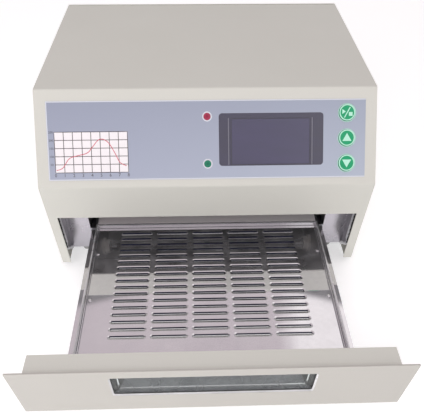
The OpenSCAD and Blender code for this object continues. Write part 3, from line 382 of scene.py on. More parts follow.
@dataclass(frozen=True)
class Ink(Finish):
    """Screen ink: an even matt layer with small thin spots."""

    thin: str = "#FFFFFF"
    spot_mm: float = 0.8
    spot_span: tuple[float, float] = (0.55, 0.9)
    spot_share: float = 0.25
    roughness: float = 0.45

    def sockets(self, tree: NodeTree) -> dict[str, Any]:
        """Works out the shader's inputs.

        Args:
            tree: The material's tree.

        Returns:
            Values or sockets by the input's name.
        """
        spots = add_node(tree, "MapRange", {
            "Value": grain(tree, self.spot_mm), "From Min": self.spot_span[0],
            "From Max": self.spot_span[1], "To Max": self.spot_share})
        tone = add_node(tree, "Mix", {
            SHARE: spots, FIRST: srgb(self.colour), SECOND: srgb(self.thin)}, data_type="RGBA")
        return {"Base Color": tone, "Roughness": self.roughness}


@dataclass(frozen=True)
class SmokedFilm(Finish):
    """Smoked clear film over a display: dark, glossy and partly see-through, with faint wiping marks."""

    cover: float = 0.8
    wiped: str = "#57566A"
    wipe_mm: float = 9.0
    wipe_stretch: tuple[float, float, float] = (0.25, 1, 1)
    gloss: tuple[float, float] = (0.1, 0.24)

    def sockets(self, tree: NodeTree) -> dict[str, Any]:
        """Works out the shader's inputs.

        Args:
            tree: The material's tree.

        Returns:
            Values or sockets by the input's name.
        """
        wipes = grain(tree, self.wipe_mm, self.wipe_stretch, detail=3)
        tone = add_node(tree, "Mix", {
            SHARE: wipes, FIRST: srgb(self.colour), SECOND: srgb(self.wiped)}, data_type="RGBA")
        gloss = add_node(tree, "MapRange", {
            "Value": wipes, "To Min": self.gloss[0], "To Max": self.gloss[1]})
        return {"Base Color": tone, "Roughness": gloss, "Alpha": self.cover}


@dataclass(frozen=True)
class LampLens(Finish):
    """Tinted acrylic lens: glossy, deeper in colour at its middle, with fine moulded rings."""

    deep: str = "#8C1F3C"
    centre: tuple[float, float, float] = (0, 0, 0)
    deep_r: float = 0.8
    edge_r: float = 3.4
    turns_per_m: float = 9000.0
    ring_depth: float = 0.02
    roughness: float = 0.14
    glow: float = 0.15
    glow_reach: tuple[float, float, float] = (0.002, 0.001, 0.001)

    def sockets(self, tree: NodeTree) -> dict[str, Any]:
        """Works out the shader's inputs.

        Args:
            tree: The material's tree.

        Returns:
            Values or sockets by the input's name.
        """
        coords = add_node(tree, "TexCoord").node.outputs["Object"]
        near = add_node(tree, "VectorMath", {0: coords, 1: self.centre}, operation="DISTANCE")
        rim = add_node(tree, "MapRange", {
            "Value": near, "From Min": self.deep_r * MM, "From Max": self.edge_r * MM})
        tone = add_node(tree, "Mix", {
            SHARE: rim, FIRST: srgb(self.deep), SECOND: srgb(self.colour)}, data_type="RGBA")
        rings = add_node(tree, "Math", {0: near, 1: self.turns_per_m}, operation="MULTIPLY")
        height = add_node(tree, "Math", {0: rings}, operation="SINE")
        fine = add_node(tree, "Bump", {"Height": height, "Distance": self.ring_depth * MM, "Strength": 0.5})
        return {"Base Color": tone, "Roughness": self.roughness, "Normal": fine,
                "Subsurface Weight": self.glow, "Subsurface Radius": self.glow_reach}


@dataclass(frozen=True)
class Moulding(Finish):
    """Moulded plastic, rubber or glazed ware: a spark-eroded texture of a real size and a soft sheen."""

    worn: str = "#FFFFFF"
    wear: float = 0.08
    roughness: float = 0.4
    texture_mm: float = 0.6
    depth: float = 0.02
    patch_mm: float = 14.0
    patch_span: tuple[float, float] = (0.4, 0.9)
    texture_strength: float = 0.6
    ior: float = 1.48

    def sockets(self, tree: NodeTree) -> dict[str, Any]:
        """Works out the shader's inputs.

        Args:
            tree: The material's tree.

        Returns:
            Values or sockets by the input's name.
        """
        patch = add_node(tree, "MapRange", {
            "Value": grain(tree, self.patch_mm, detail=4), "From Min": self.patch_span[0],
            "From Max": self.patch_span[1], "To Max": self.wear})
        tone = add_node(tree, "Mix", {
            SHARE: patch, FIRST: srgb(self.colour), SECOND: srgb(self.worn)}, data_type="RGBA")
        bump = add_node(tree, "Bump", {
            "Height": grain(tree, self.texture_mm), "Distance": self.depth * MM,
            "Strength": self.texture_strength})
        return {"Base Color": tone, "Roughness": self.roughness, "Normal": bump, "IOR": self.ior}


@dataclass(frozen=True)
class ClearSheet(Finish):
    """Clear float glass or fused quartz: almost colourless, with a breath of haze in patches."""

    ior: float = 1.46
    patch_mm: float = 25.0
    patch_start: float = 0.45
    dullness: tuple[float, float] = (0.01, 0.08)

    def sockets(self, tree: NodeTree) -> dict[str, Any]:
        """Works out the shader's inputs.

        Args:
            tree: The material's tree.

        Returns:
            Values or sockets by the input's name.
        """
        haze = add_node(tree, "MapRange", {
            "Value": grain(tree, self.patch_mm, detail=4), "From Min": self.patch_start,
            "To Min": self.dullness[0], "To Max": self.dullness[1]})
        return {
            "Base Color": srgb(self.colour), "Roughness": haze, "IOR": self.ior, "Transmission Weight": 1.0}


@dataclass(frozen=True)
class SolderMask(Finish):
    """Green solder mask over etched copper: tracks stand up a little and show lighter."""

    track: str = "#1F7A45"
    pitch_mm: float = 3.2
    track_share: float = 0.08
    track_h: float = 0.05
    ground: Colour = (0.1, 0.1, 0.1, 1)
    roughness: float = 0.3

    def sockets(self, tree: NodeTree) -> dict[str, Any]:
        """Works out the shader's inputs.

        Args:
            tree: The material's tree.

        Returns:
            Values or sockets by the input's name.
        """
        coords = add_node(tree, "TexCoord").node.outputs["Object"]
        bricks = add_node(tree, "TexBrick", {
            "Vector": coords, "Color1": (0, 0, 0, 1), "Color2": self.ground, "Mortar": (1, 1, 1, 1),
            "Scale": 1 / (self.pitch_mm * MM), "Mortar Size": self.track_share})
        tone = add_node(tree, "Mix", {
            SHARE: bricks, FIRST: srgb(self.colour), SECOND: srgb(self.track)}, data_type="RGBA")
        edge = add_node(tree, "Bump", {"Height": bricks, "Distance": self.track_h * MM})
        return {"Base Color": tone, "Roughness": self.roughness, "Normal": edge}


@dataclass(frozen=True)
class FibreBlanket(Finish):
    """Needled ceramic fibre: dead matt, off-white, with matted strands drawn coarse enough to show."""

    strand_mm: float = 2.0
    hollow: str = "#C9C4B6"
    stretch: tuple[float, float, float] = (0.3, 1, 1)
    tuft_h: float = 0.8
    roughness: float = 0.95
    sheen: float = 0.3

    def sockets(self, tree: NodeTree) -> dict[str, Any]:
        """Works out the shader's inputs.

        Args:
            tree: The material's tree.

        Returns:
            Values or sockets by the input's name.
        """
        strands = grain(tree, self.strand_mm, self.stretch, detail=6)
        tone = add_node(tree, "Mix", {
            SHARE: strands, FIRST: srgb(self.colour), SECOND: srgb(self.hollow)}, data_type="RGBA")
        tuft = add_node(tree, "Bump", {"Height": strands, "Distance": self.tuft_h * MM})
        return {
            "Base Color": tone, "Roughness": self.roughness, "Normal": tuft, "Sheen Weight": self.sheen}


# Polyester powder on the shells: satin, so that lights spread into broad soft patches.
BODY_PAINT = PowderCoat("powder_coat_warm_grey", "#D7D6CF", shade="#CECDC5")
# The drawer's plate has the same orange peel, coloured a shade darker: painted shade, as the plate stands
# in more light than the shell's front.
DRAWER_PAINTED_SHADE = PowderCoat("powder_coat_drawer_grey", "#BFBCB6", shade="#B7B4AE")
# Satin rolled steel: upright, blurred streaks of what stands before it.
BULKHEAD_SHEET = SheetMetal(
    "satin_steel_sheet", "#CCC9D0", smudge="#B9B6BD", roughness=0.24, line_mm=1.2, lines=Grain.ALONG_Z,
    line_depth=0.002, wave_mm=40, wave_depth=0.3)
# Hot-dip zinc: light and dark spangles, drawn coarser than real.
CHEEK_SHEET = SheetMetal(
    "spangled_zinc_sheet", "#8E8C8F", smudge="#5E5B60", roughness=0.3, line_mm=7, lines=Grain.ALONG_Z,
    line_depth=0.25, wave_mm=14, wave_depth=0.5)
# A thin spray of powder over zinc: dull and greenish.
CHEEK_PAINT = PowderCoat("powder_coat_thin_olive_grey", "#7E7C70", shade="#6E6C60")
# Near white and mostly matt: the white lumps along the seam, and the rib beside it, a painted highlight of
# a fold.
SEAM_WHITE_AND_PAINTED_HIGHLIGHT = SheetMetal("bright_solder_seam", "#FFFEFF", roughness=0.3, wave_mm=3, wave_depth=0.1, haze=0.7)
# A dull dark line beside the leg's edge: painted shadow in the gap there.
SEAM_SHADOW = Moulding("dark_sealing_gum", "#1A1A1B", worn="#38383A", roughness=0.6)
# A pale, nearly matt film laid on the polished tail: a painted reflection, lighter than the dark chamber
# that the bare steel would mirror.
TAIL_PAINTED_REFLECTION = PrintedFilm("satin_lavender_steel", "#FFF4F7", far_colour="#FFF8F9", width_mm=240, pearl=0.05)
# Zinc plating: a cool cloudy grey with faint rolling lines.
ZINC = SheetMetal(
    "zinc_plated_sheet", "#B9BBBF", smudge="#9DA0A6", roughness=0.32, line_mm=0.6, lines=Grain.ALONG_Y)
# Mill finish: an even sheen, drawn out across the rolling lines.
STAINLESS = SheetMetal("mill_finish_stainless", "#C4C4C6", roughness=0.28, lines=Grain.ALONG_X)
# Mirror polish: sharp images of the room, bent at the slots and veiled where it was handled.
MIRROR_STEEL = PressedPan(
    "mirror_polished_stainless", "#E2E1E3", smudge="#CFCDD2", roughness=0.02, smudge_roughness=0.03,
    line_depth=0.001, wave_mm=80, wave_depth=0.35, haze=0.14)
# A polished bend, coloured near white and mostly matt: a painted highlight, one bright line along the edge.
RIM_PAINTED_HIGHLIGHT = SheetMetal(
    "bright_bent_edge", "#FFFEFF", roughness=0.25, wave_mm=30, wave_depth=0.05, haze=0.65)
# Polished thin sheet: bright images, broken by its waves.
LINER_STEEL = SheetMetal(
    "polished_window_liner", "#FAF9FB", smudge="#D2D0D6", roughness=0.06, smudge_roughness=0.12,
    line_depth=0.001, wave_mm=24, wave_depth=0.3, haze=0.25)
# Nickel plating: small hard glints.
SCREW_STEEL = SheetMetal(
    "nickel_plated_screws", "#BDBDC2", roughness=0.22, line_mm=0.2, wave_mm=4, wave_depth=0.02)
# Plated wire: a thin bright line along each ring.
GUARD_WIRE = SheetMetal("bright_plated_wire", "#C9CACC", roughness=0.2, wave_mm=6, wave_depth=0.03)
# Turned brass, a little tarnished: warm yellow glints.
BRASS = SheetMetal("plain_brass", "#C8A860", smudge="#9C8248", roughness=0.3)
# Stacked laminations under varnish: dark, with parallel edges drawn coarser than real.
LAMINATIONS = SheetMetal(
    "varnished_laminations", "#4B4A4C", smudge="#383739", roughness=0.45, line_mm=0.5, lines=Grain.ALONG_X,
    line_depth=0.05)
# Black anodising: deep, with wide dim highlights.
ANODISED = SheetMetal("black_anodised_aluminium", "#2C2C2F", smudge="#242426", roughness=0.5)
# Resistance wire oxidised by heat: brown and dull.
HEATER_WIRE = SheetMetal(
    "oxidised_resistance_wire", "#8C6450", smudge="#5E4A44", roughness=0.5, line_mm=0.3)
# Moulded rubber: dull grey, paler where it is worn.
RUBBER = Moulding("moulded_grey_rubber", "#9B9B9A", worn="#C2C2C0", roughness=0.72, texture_mm=1.2)
# Nylon from a spark-eroded mould: black with a dusty sheen.
BLACK_PLASTIC = Moulding("moulded_black_nylon", "#1B1B1D", worn="#4A4A4C", roughness=0.48)
# Unglazed steatite: chalky off-white.
CERAMIC = Moulding("unglazed_steatite", "#EDEADF", worn="#CFC9BA", roughness=0.8, depth=0.05)
# Shrunk PVC: smooth dark blue with a clear highlight.
SLEEVE = Moulding("capacitor_sleeve_pvc", "#27305A", roughness=0.25, texture_mm=3)
# Moulded polyamide: half glossy mid green.
TERMINAL = Moulding("terminal_polyamide", "#35784F", roughness=0.38)
# Needled ceramic fibre: dead matt, with strands drawn coarser than real.
WOOL = FibreBlanket("ceramic_fibre_blanket", "#ECE8DC")
# Fused quartz: clear, so that the coils show.
QUARTZ = ClearSheet("clear_quartz", "#F4F8FA")
# Float glass. The pane mirrors so little that its IOR is matched far below the usual 1.52.
GLASS = ClearSheet("clear_float_glass", "#F2F8F6", ior=1.24)
# Solder mask over copper: glossy deep green with raised, lighter tracks.
BOARD = SolderMask("green_solder_mask", "#0F5A30")
# Pearl ink behind matt polyester: a pale blue grey that drifts with the light, coloured lighter to the
# right, with painted shade towards the top.
LABEL_FILM = PrintedFilm("pearl_printed_film", "#AFB5C8", far_colour="#BBC3D3", pearl=0.2)
# Smoked film: dark, and what lies behind it still shows a little.
SMOKE = SmokedFilm("smoked_display_film", "#55545F", cover=0.86)
# The view's polariser: bluer than the film round it.
VIEW_GLASS = SmokedFilm("display_view_glass", "#5C5974", cover=0.9)
# Screen inks on the display's film: flat greys without a glint.
FRAME_INK = Ink("grey_frame_ink", "#7C7B86", thin="#6A6974")
EDGE_INK = Ink("dark_frame_ink", "#45444F", thin="#5A5964")
# An unlit display's glass: smooth violet grey.
SCREEN = Moulding("unlit_display_glass", "#C9C2E4", worn="#B5AED2", roughness=0.2, texture_mm=2)
# Moulded ABS: clean green with small soft highlights.
KEY_GREEN = Moulding("key_abs_green", "#17A06C", worn="#3FBF90", roughness=0.3, texture_mm=0.9)
# Pale screen inks: flat and even.
MINT_INK = Ink("mint_ink", "#BDF2DC")
WHITE_INK = Ink("white_ink", "#DCDEE6", thin="#C8CAD4")
# The slots' turned-down edges, coloured dark violet: painted shade for the shadow under the pan, so that
# each slot reads as a line.
SLOT_PAINTED_SHADE = SheetMetal("heat_blued_cut_edge", "#34344C", smudge="#1E1E2C", roughness=0.35)
# The liner's end walls, coloured nearly black and rough: painted shade.
LINER_END_PAINTED_SHADE = Moulding("dark_end_seal", "#1E1E22", worn="#34343A", roughness=0.5, texture_mm=1.5, depth=0.1)
# The chart's inks: flat, and in spots so thin that the ground shows.
DARK_INK = Ink("dark_ink", "#4C4648", thin="#9A9496")
PALE_INK = Ink("pale_chart_ink", "#F6F1F4", thin="#EDE6EB")
RED_INK = Ink("red_ink", "#D05468", thin="#E8A0AC")


def circle(radius: float, steps: int = 32, centre: tuple[float, float] = (0, 0)) -> Outline:
    """Gives a round outline."""
    turns = [2 * math.pi * i / steps for i in range(steps)]
    return [(centre[0] + radius * math.cos(a), centre[1] + radius * math.sin(a)) for a in turns]


def rounded(width: float, height: float, radius: float, centre: tuple[float, float] = (0, 0),
            steps: int = 6) -> Outline:
    """Gives a rectangle's outline with round corners.

    Args:
        width: The width over all.
        height: The height over all.
        radius: The corner radius.
        centre: The middle of the rectangle.
        steps: The number of sides of each corner.

    Returns:
        The outline's points, counter-clockwise.
    """
    points = []
    for quarter, (sx, sy) in enumerate([(1, 1), (-1, 1), (-1, -1), (1, -1)]):
        hub = (centre[0] + sx * (width / 2 - radius), centre[1] + sy * (height / 2 - radius))
        for i in range(steps + 1):
            turn = math.pi / 2 * (quarter + i / steps)
            points.append((hub[0] + radius * math.cos(turn), hub[1] + radius * math.sin(turn)))
    return points


def prism(form: BMesh, outline: Sequence[tuple[float, float]], low: float, high: float) -> None:
    """Adds a closed plate to the form.

    Args:
        form: The form that takes it.
        outline: The plate's outline.
        low: The height of its underside.
        high: The height of its top.
    """
    bottom = [form.verts.new((x, y, low)) for x, y in outline]
    top = [form.verts.new((x, y, high)) for x, y in outline]
    form.faces.new(bottom[::-1])
    form.faces.new(top)
    for i in range(len(outline)):
        j = (i + 1) % len(outline)
        form.faces.new((bottom[i], bottom[j], top[j], top[i]))


def loft(form: BMesh, rings: Sequence[tuple[Outline, float]]) -> None:
    """Skins a closed tube through outlines, of which the last one joins the first.

    Args:
        form: The form that takes it.
        rings: Each outline with its height. All have as many points.
    """
    rows = [[form.verts.new((x, y, z)) for x, y in line] for line, z in rings]
    for first, second in zip(rows, rows[1:] + rows[:1]):
        for i in range(len(first)):
            j = (i + 1) % len(first)
            form.faces.new((first[i], first[j], second[j], second[i]))


def band(form: BMesh, outer: Outline, inner: Outline, low: float, high: float) -> None:
    """Adds a closed flat band between two outlines with as many points each."""
    loft(form, [(outer, low), (outer, high), (inner, high), (inner, low)])


def ribbon(points: Sequence[tuple[float, float]], width: float) -> Outline:
    """Gives the outline of a line with a width.

    Args:
        points: The points that the line passes.
        width: Its width.

    Returns:
        The points of the outline.
    """
    left, right = [], []
    for i, point in enumerate(points):
        before = Vector(points[max(i - 1, 0)])
        after = Vector(points[min(i + 1, len(points) - 1)])
        along = (after - before).normalized()
        side = Vector((-along.y, along.x)) * width / 2
        left.append(tuple(Vector(point) + side))
        right.append(tuple(Vector(point) - side))
    return right + left[::-1]


def smooth_line(points: Sequence[tuple[float, float]], steps: int = 6) -> Outline:
    """Draws a smooth line through the points.

    Args:
        points: The points that the line passes.
        steps: The number of sides between two points.

    Returns:
        The points of the smooth line.
    """
    padded = [points[0], *points, points[-1]]
    line = []
    for i in range(len(points) - 1):
        a, b, c, d = (Vector(p) for p in padded[i:i + 4])
        for k in range(steps):
            t = k / steps
            line.append(tuple(0.5 * (2 * b + (c - a) * t + (2 * a - 5 * b + 4 * c - d) * t * t
                                     + (3 * b - a - 3 * c + d) * t ** 3)))
    return line + [tuple(points[-1])]


def upright(y: float = 0.0, z: float = 0.0) -> Matrix:
    """Stands a form up in front of the operator, with its own Z to the back, at a place in metres."""
    return Matrix(((1, 0, 0, 0), (0, 0, 1, y), (0, 1, 0, z), (0, 0, 0, 1)))


def link_piece(name: str, mesh: Mesh, body: str) -> Object:
    """Puts a mesh into the scene as a piece that rides on a body.

    Args:
        name: The piece's name.
        mesh: Its mesh, already in its place.
        body: The moving body that carries it.

    Returns:
        The piece.
    """
    piece = bpy.data.objects.new(name, mesh)
    bpy.context.scene.collection.objects.link(piece)
    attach(piece, body)
    LOG.info("%s: %d faces on %s", name, len(mesh.polygons), body)
    return piece


def add_piece(name: str, form: BMesh, material: Material, body: str, place: Matrix = FLAT,
              smooth: bool = False) -> Object:
    """Turns a form drawn in millimetres into a piece.

    Args:
        name: The piece's name.
        form: The form, which is used up.
        material: Its material.
        body: The moving body that carries it.
        place: Where the form's own axes lie.
        smooth: Whether its round faces are shaded smooth.

    Returns:
        The piece.
    """
    form.transform(place @ IN_MM)
    bmesh.ops.recalc_face_normals(form, faces=form.faces)
    mesh = bpy.data.meshes.new(name)
    form.to_mesh(mesh)
    form.free()
    mesh.materials.append(material)
    if smooth:
        mesh.polygons.foreach_set("use_smooth", [True] * len(mesh.polygons))
        mesh.set_sharp_from_angle(angle=math.radians(SHARP_DEG))
    return link_piece(name, mesh, body)


class NodeShape:
    """A Geometry Nodes tree with named sizes, run once and kept as a plain mesh."""

    def __init__(self, name: str, points: Sequence[Vector] = ()) -> None:
        """Starts the tree.

        Args:
            name: The name of the piece that it makes.
            points: Places in metres that the tree may read as vertices.
        """
        self.name = name
        self.points = points
        self.tree = bpy.data.node_groups.new(name, "GeometryNodeTree")
        self.tree.interface.new_socket(name="Geometry", in_out="OUTPUT", socket_type="NodeSocketGeometry")
        self.tree.interface.new_socket(name="Points", in_out="INPUT", socket_type="NodeSocketGeometry")
        self.entry = self.tree.nodes.new("NodeGroupInput")
        self.values: dict[str, Any] = {}
        self.stock: list[Object] = []

    def size(self, label: str, value: Any, kind: str = "NodeSocketFloat") -> NodeSocket:
        """Adds a named input and remembers its value.

        Args:
            label: The input's name.
            value: Its value.
            kind: The type of its socket.

        Returns:
            The socket that gives the value to the tree.
        """
        socket = self.tree.interface.new_socket(name=label, in_out="INPUT", socket_type=kind)
        self.values[socket.identifier] = value
        return self.entry.outputs[label]

    def add(self, kind: str, inputs: dict[Any, Any] | None = None, **settings: Any) -> NodeSocket | None:
        """Adds a node to the tree and gives its first output in use."""
        return add_node(self.tree, kind, inputs, **settings)

    def form(self, form: BMesh) -> NodeSocket:
        """Gives the tree a form drawn in millimetres, and uses it up.

        Args:
            form: The form.

        Returns:
            The socket that holds it.
        """
        form.transform(IN_MM)
        bmesh.ops.recalc_face_normals(form, faces=form.faces)
        mesh = bpy.data.meshes.new(self.name + "_unit")
        form.to_mesh(mesh)
        form.free()
        self.stock.append(bpy.data.objects.new(self.name + "_unit", mesh))
        return self.add("ObjectInfo", {"Object": self.stock[-1]}).node.outputs["Geometry"]

    def bake(self, shape: NodeSocket, material: Material, body: str) -> Object:
        """Runs the tree and keeps its mesh as a piece.

        Args:
            shape: The socket that holds the finished shape.
            material: The piece's material.
            body: The moving body that carries it.

        Returns:
            The piece.
        """
        real = self.add("RealizeInstances", {0: shape})
        dressed = self.add("SetMaterial", {0: real, "Material": material})
        self.add("NodeGroupOutput", {0: dressed})
        seed_mesh = bpy.data.meshes.new(self.name + "_points")
        seed_mesh.from_pydata([tuple(p) for p in self.points], [], [])
        holder = bpy.data.objects.new(self.name + "_holder", seed_mesh)
        bpy.context.scene.collection.objects.link(holder)
        modifier = holder.modifiers.new("shape", "NODES")
        modifier.node_group = self.tree
        for identifier, value in self.values.items():
            modifier[identifier] = value
        graph = bpy.context.evaluated_depsgraph_get()
        mesh = bpy.data.meshes.new_from_object(holder.evaluated_get(graph), depsgraph=graph)
        holder.modifiers.remove(modifier)
        for unit in (holder, *self.stock):
            bpy.data.objects.remove(unit)
        mesh.name = self.name
        return link_piece(self.name, mesh, body)


@dataclass
class SubAssembly:
    """What every sub-assembly shares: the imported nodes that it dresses."""

    nodes: dict[str, Object]

    def dress(self, finish: Finish, *names: str) -> Material:
        """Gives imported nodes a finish.

        Args:
            finish: The finish.
            *names: The nodes that wear it.

        Returns:
            The finish's material.
        """
        material = finish.make()
        for name in names:
            mesh = self.nodes[name].data
            mesh.materials.clear()
            mesh.materials.append(material)
            LOG.info("%s wears %s", name, finish.name)
        return material

    def islands(self, name: str) -> list[tuple[Vector, Vector]]:
        """Finds the boxes of a node's separate solids.

        Args:
            name: The node.

        Returns:
            The low and the high corner of each, in metres, in order of place.
        """
        form = bmesh.new()
        form.from_mesh(self.nodes[name].data)
        bmesh.ops.remove_doubles(form, verts=form.verts, dist=MERGE_MM * MM)
        left = set(form.verts)
        boxes = []
        while left:
            stack, low, high = [left.pop()], Vector([math.inf] * 3), Vector([-math.inf] * 3)
            while stack:
                vert = stack.pop()
                low = Vector(map(min, low, vert.co))
                high = Vector(map(max, high, vert.co))
                near = {edge.other_vert(vert) for edge in vert.link_edges} & left
                left -= near
                stack.extend(near)
            boxes.append((low, high))
        form.free()
        return sorted(boxes, key=lambda box: tuple(box[0]))


@dataclass
class SlopePlane:
    """The sloping panel: local X runs to the right, local Y up the slope and local Z out of it."""

    run: float = 59.3
    fall: float = 63.6

    def place(self) -> Matrix:
        """Gives the turn and the origin, which lies on the fold at the top.

        Returns:
            The matrix from the panel's axes to the model's.
        """
        low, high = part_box("top_front_shell")
        fold = Vector((0, low.y + self.run * MM, high.z))
        return Matrix.Translation(fold) @ Matrix.Rotation(math.atan2(self.fall, self.run), 4, "X")


@dataclass
class ScrewHeads(SubAssembly):
    """Domed heads with a pressed cross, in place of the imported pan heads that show."""

    recess_w: float = 0.28
    recess_l: float = 0.6
    depth: float = 0.45
    dome: float = 0.85
    sides: int = 32
    shank_sides: int = 16
    overlap: float = 0.01
    seed: int = 7
    rings: tuple[float, ...] = (0.0, 0.12, 0.22, 0.34, 0.46, 0.58, 0.68, 0.8, 0.92, 1.0)

    def head(self, radius: float, height: float) -> BMesh:
        """Draws one head that faces up its own Z.

        Args:
            radius: The head's radius.
            height: The head's height at its middle.

        Returns:
            The closed form.
        """
        form = bmesh.new()
        rows = []
        for share in self.rings:
            row = []
            for i in range(self.sides):
                turn = 2 * math.pi * i / self.sides
                x, y = share * math.cos(turn), share * math.sin(turn)
                pressed = min(abs(x), abs(y)) < self.recess_w / 2 and share < self.recess_l
                rise = math.sqrt(1 - self.dome * share ** 2) - (self.depth if pressed else 0)
                row.append(form.verts.new((x * radius, y * radius, rise * height)))
            rows.append(row)
        rows.append([form.verts.new((v.co.x, v.co.y, 0)) for v in rows[-1]])
        for inner, outer in zip(rows, rows[1:]):
            for i in range(self.sides):
                j = (i + 1) % self.sides
                form.faces.new((inner[i], outer[i], outer[j], inner[j]))
        form.faces.new(rows[-1][::-1])
        bmesh.ops.remove_doubles(form, verts=form.verts, dist=MERGE_MM)
        return form

    def replace(self, name: str, height: float, shank_r: float) -> None:
        """Puts pressed heads with their shanks in place of a row of screws that face the back.

        Args:
            name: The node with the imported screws.
            height: The height of a head.
            shank_r: The radius of a shank.
        """
        boxes = self.islands(name)
        low, high = boxes[0]
        form = self.head((high.x - low.x) / 2 / MM, height)
        prism(form, circle(shank_r, self.shank_sides), height - (high.y - low.y) / MM, self.overlap)
        shape = NodeShape(name + "_pressed", [
            Vector(((a.x + b.x) / 2, b.y - height * MM, (a.z + b.z) / 2)) for a, b in boxes])
        unit = shape.form(form)
        spin = shape.add("FunctionNodeRandomValue", {"Seed": self.seed, 3: math.pi}, data_type="FLOAT")
        own = shape.add("ShaderNodeCombineXYZ", {"Z": spin})
        each = shape.add("InstanceOnPoints", {
            "Points": shape.entry.outputs["Points"], "Instance": unit, "Rotation": (-math.pi / 2, 0, 0)})
        turned = shape.add("RotateInstances", {"Instances": each, "Rotation": own, "Local Space": True})
        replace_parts(shape.bake(turned, SCREW_STEEL.make(), "housing"), name)

    def build(self) -> None:
        """Presses the heads of the rear panel's screws and of the fan's."""
        self.replace("rear_screws", height=2.1, shank_r=1.5)
        self.replace("fan_screws", height=2.4, shank_r=2.0)


@dataclass
class Housing(SubAssembly):
    """The folded shells, their base and feet."""

    foot_corners: tuple[float, float, float] = (4.0, 3.0, 2.5)
    foot_taper: float = 3.4
    foot_toe: tuple[float, float] = (5.0, 0.6)
    foot_sides: int = 28
    bore_r: float = 5.0
    bore_h: float = 5.0
    shank_r: float = 2.0

    def build(self) -> None:
        """Dresses the shells, the cross wall, the base and the feet."""
        self.dress(BODY_PAINT, "top_front_shell", "side_panel_left", "side_panel_right", "rear_panel")
        self.dress(BULKHEAD_SHEET, "front_bulkhead")
        self.dress(ZINC, "base_pan", "rail_left", "rail_right", "board_studs")
        self.dress(SCREW_STEEL, "foot_screws", "side_screws")
        self.feet()

    def feet(self) -> None:
        """Moulds square feet with round corners, drawn in at the bottom and bored for their screws."""
        boxes = self.islands("rubber_feet")
        low, high = boxes[0]
        wide, tall = (high.x - low.x) / MM, (high.z - low.z) / MM
        toe_in, toe_h = self.foot_toe
        widths = zip((wide, wide - self.foot_taper, wide - toe_in), self.foot_corners, (tall, toe_h, 0))
        bore, shank = circle(self.bore_r, self.foot_sides), circle(self.shank_r, self.foot_sides)
        form = bmesh.new()
        loft(form, [*((rounded(w, w, corner), z) for w, corner, z in widths), (bore, 0),
                    (bore, self.bore_h), (shank, self.bore_h), (shank, tall)])
        shape = NodeShape("rubber_feet_square", [
            Vector(((a.x + b.x) / 2, (a.y + b.y) / 2, a.z)) for a, b in boxes])
        unit = shape.form(form)
        each = shape.add("InstanceOnPoints", {"Points": shape.entry.outputs["Points"], "Instance": unit})
        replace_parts(shape.bake(each, RUBBER.make(), "housing"), "rubber_feet")


class KeyMark(Enum):
    """What each key's print shows, as outlines round the key's middle."""

    START = ([(-4.6, -1.5), (-1.4, 0.7), (-4.6, 2.9)], [(1.4, -3.2), (4.8, -3.2), (4.8, 0.2), (1.4, 0.2)],
             ribbon([(-2.6, -4.6), (2.6, 4.6)], 0.9))
    UP = ([(-4.2, -2.9), (4.2, -2.9), (0, 4.2)],)
    DOWN = ([(-4.2, 2.9), (0, -4.2), (4.2, 2.9)],)


